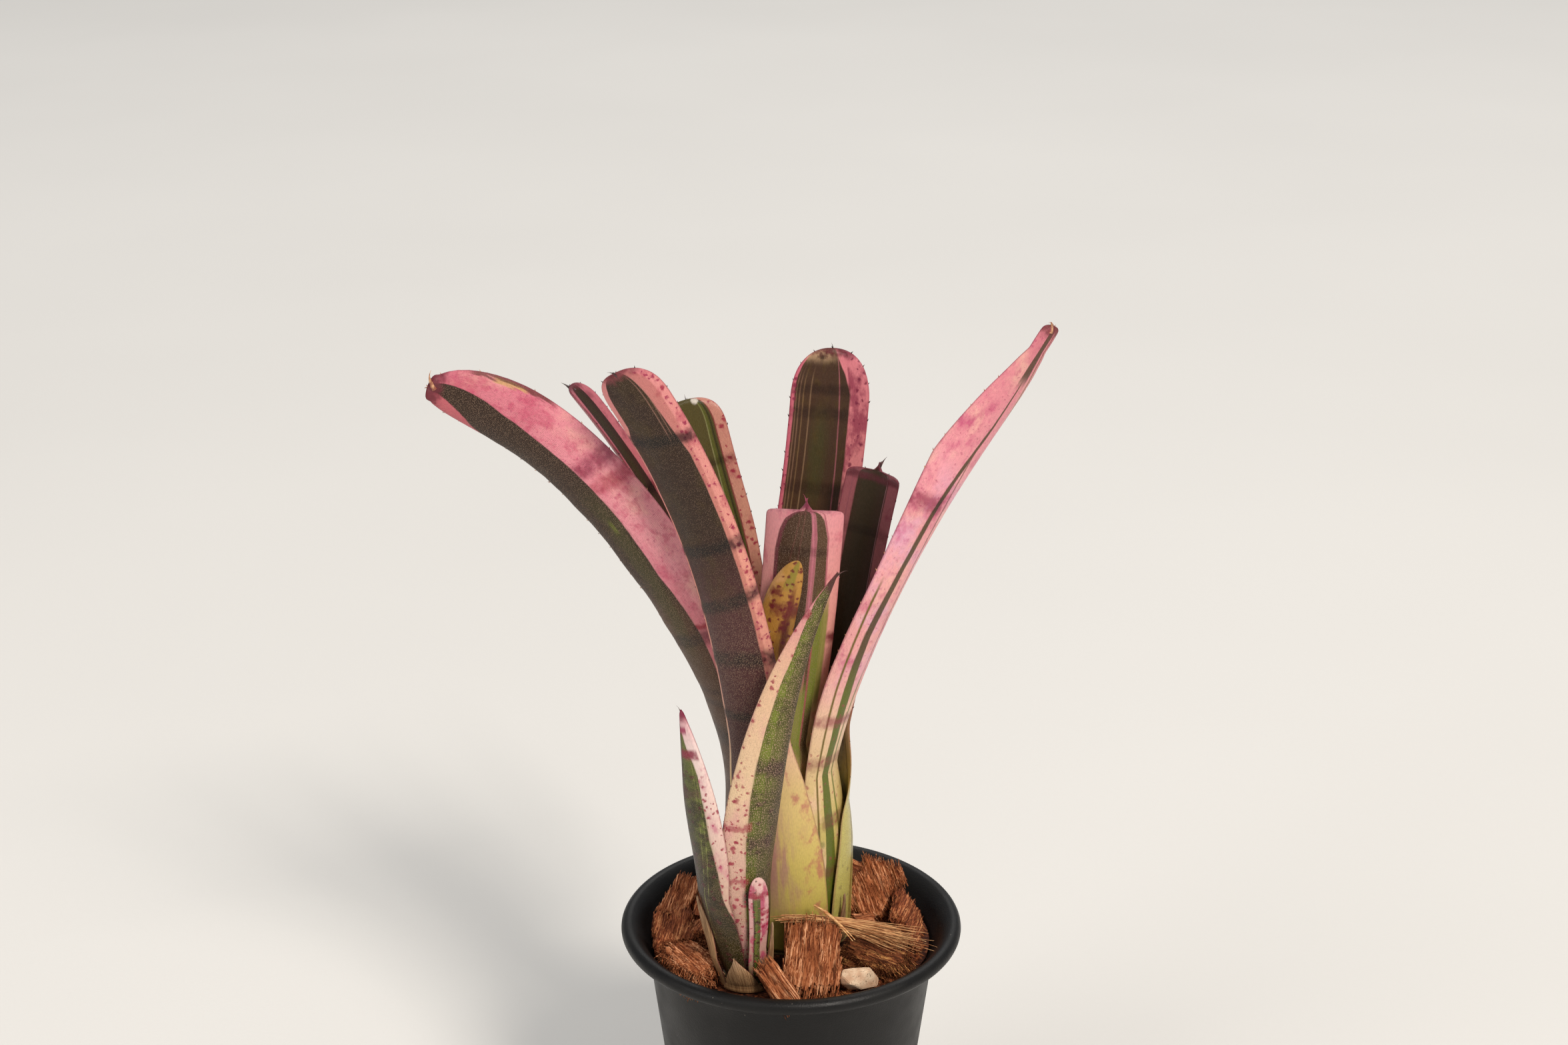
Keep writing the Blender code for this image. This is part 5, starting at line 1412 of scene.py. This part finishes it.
def strand_tree():
    """Thin fibres beside one curve: close together at its start, spread out at its end."""
    w, given, end = group("GeometryNodeTree", "fibre_strands", {
        "Strands": [], "Count": 60, "Start": ORIGIN, "Start Handle": ORIGIN,
        "End Handle": ORIGIN, "End": ORIGIN, "Near": 0.0008, "Far": 0.003,
        "Flat": 0.4, "Thickness": 0.0001, "Waver": 0.0006, "Seed": 1, "Fibre": ""}, {"Strands": []})
    curve = w.add("GeometryNodeCurvePrimitiveBezierSegment", {
        "Resolution": 24, "Start": given["Start"], "Start Handle": given["Start Handle"],
        "End Handle": given["End Handle"], "End": given["End"]})
    curve = w.add("GeometryNodeResampleCurve", {"Curve": curve, "Count": 22})
    shape, index = w.add("GeometryNodeDuplicateElements", {"Geometry": curve, "Amount": given["Count"]},
                         ("Geometry", "Duplicate Index"), domain="SPLINE")

    def chance(low, high, seed, kind):
        return w.add("FunctionNodeRandomValue", {"Min": low, "Max": high, "ID": index,
                                                 "Seed": given["Seed"] + float(seed)}, data_type=kind)

    factor = w.add("GeometryNodeSplineParameter", out="Factor")
    first = chance((-1.0, -1.0, -1.0), (1.0, 1.0, 1.0), 1, "FLOAT_VECTOR")
    last = chance((-1.0, -1.0, -1.0), (1.0, 1.0, 1.0), 2, "FLOAT_VECTOR")
    spread = first * (given["Near"] * (1.0 - factor)) + last * (given["Far"] * factor ** 1.6)
    spread = spread * w.xyz(1.0, 1.0, given["Flat"])
    where = w.add("GeometryNodeInputPosition")
    wobble = w.noise(where * 90.0 + last * 40.0, 1.0, 2.0, out="Color")
    wobble = (wobble - (0.5, 0.5, 0.5)) * given["Waver"]
    shape = w.moved(shape, spread + wobble)
    cut = w.add("GeometryNodeTrimCurve", {"Curve": shape, 2: chance(0.0, 0.35, 3, "FLOAT"),
                                          3: chance(0.72, 1.0, 4, "FLOAT")})
    factor = w.add("GeometryNodeSplineParameter", out="Factor")
    thick = chance(0.6, 1.5, 5, "FLOAT") * (1.0 - factor * 0.75)
    ring = w.add("GeometryNodeCurvePrimitiveCircle", {"Resolution": 5, "Radius": given["Thickness"]})
    tube = w.add("GeometryNodeCurveToMesh", {"Curve": cut, "Profile Curve": ring, "Scale": thick,
                                             "Fill Caps": True})
    w.feed(end["Strands"], w.clad(w.realized(w.smoothed(tube)), given["Fibre"]))
    return w.tree


def fibre_surface(name, dark, light):
    made, w, shader = new_material(name)
    place_mm = object_mm(w)
    tint = w.noise(place_mm * (0.15, 2.0, 2.0), 1.0, 3.0)
    colour = w.blend(w.ramp(tint, 0.35, 0.65), seen(dark), seen(light))
    fine = w.noise(place_mm * (1.0, 6.0, 6.0), 1.0, 2.0)
    finish_surface(w, shader, colour, w.ramp(tint, 0.3, 0.7, 0.5, 0.7), fine, 0.00005, 0.5)
    return made


STRAND_TREE = strand_tree()
# name, four points of the curve in mm, how many, spread at the start and end, flatness, thickness,
# waver, fibre
STRANDS = [
    ("fibre_bundle", ((-4.6, -19.4, 97.6), (8.0, -18.2, 98.8), (20.0, -20.2, 95.4), (37.0, -19.6, 90.6)),
     150, 1.6, 5.4, 0.6, 0.16, 1.4, fibre_surface("bundle_fibre", "a0602f", "e0ae76")),
    ("fibre_straw", ((4.5, -17.8, 102.2), (9.0, -19.4, 101.6), (13.0, -22.4, 99.0), (18.5, -24.6, 93.2)),
     4, 0.4, 0.6, 1.0, 0.38, 0.4, fibre_surface("straw_fibre", "b8743c", "ecbc80"))]
for name, points, count, near, far, flat, thickness, waver, fibre in STRANDS:
    ends = dict(zip(("Start", "Start Handle", "End Handle", "End"),
                    (tuple(c * MM for c in p) for p in points)))
    values = {**ends, "Count": count, "Near": near * MM, "Far": far * MM, "Flat": flat,
              "Thickness": thickness * MM, "Waver": waver * MM, "Seed": 8, "Fibre": fibre}
    keep(grown(name + "_strands", empty(name), STRAND_TREE, values), name, name)

# The floor is a plain flat sheet of pale matt paper, lit by large soft lights. The camera
# stands in front of the plant and a little above it.


def floor_paper():
    made, w, shader = new_material("floor_paper")
    place_mm = object_mm(w)
    clouds = w.noise(place_mm, 0.002, 3.0)
    colour = w.blend(clouds, seen("dcdad6"), seen("e6e4e0"))
    finish_surface(w, shader, colour, w.ramp(clouds, 0.2, 0.8, 0.85, 0.95), w.noise(place_mm, 0.8, 3.0),
                   0.0002, 0.3)
    return made


shape = bmesh.new()
bmesh.ops.create_grid(shape, x_segments=8, y_segments=8, size=4.0)
mesh = as_mesh("floor", shape)
mesh.materials.append(floor_paper())
floor = place("floor", mesh)


def area_light(name, spot, aim, size, watts, colour):
    data = bpy.data.lights.new(name, "AREA")
    data.size, data.energy, data.color = size, watts, colour
    lamp = bpy.data.objects.new(name, data)
    lamp.location = spot
    lamp.rotation_euler = (Vector(aim) - Vector(spot)).to_track_quat("-Z", "Y").to_euler()
    bpy.context.scene.collection.objects.link(lamp)


area_light("key", (1.5, -2.2, 2.6), (0.0, 0.0, 0.16), 0.9, 105.0, (1.0, 0.93, 0.85))
area_light("fill", (-2.4, -1.6, 1.6), (0.0, 0.0, 0.16), 1.6, 26.0, (1.0, 0.96, 0.92))
area_light("top", (0.3, 2.2, 3.2), (0.0, 1.0, 0.0), 2.6, 60.0, (1.0, 0.98, 0.95))

world = bpy.data.worlds.new("studio")
world.use_nodes = True
world.node_tree.nodes["Background"].inputs["Color"].default_value = (0.9, 0.92, 0.95, 1.0)
world.node_tree.nodes["Background"].inputs["Strength"].default_value = 0.3
bpy.context.scene.world = world
bpy.context.scene.view_settings.view_transform = "Standard"

data = bpy.data.cameras.new("photo_camera")
data.lens, data.sensor_width = 60.0, 36.0
camera = bpy.data.objects.new("photo_camera", data)
camera.location = (-0.0021, -0.6802, 0.4672)
camera.rotation_euler = (math.radians(69.42), 0.0, 0.0)
bpy.context.scene.collection.objects.link(camera)
bpy.context.scene.camera = camera
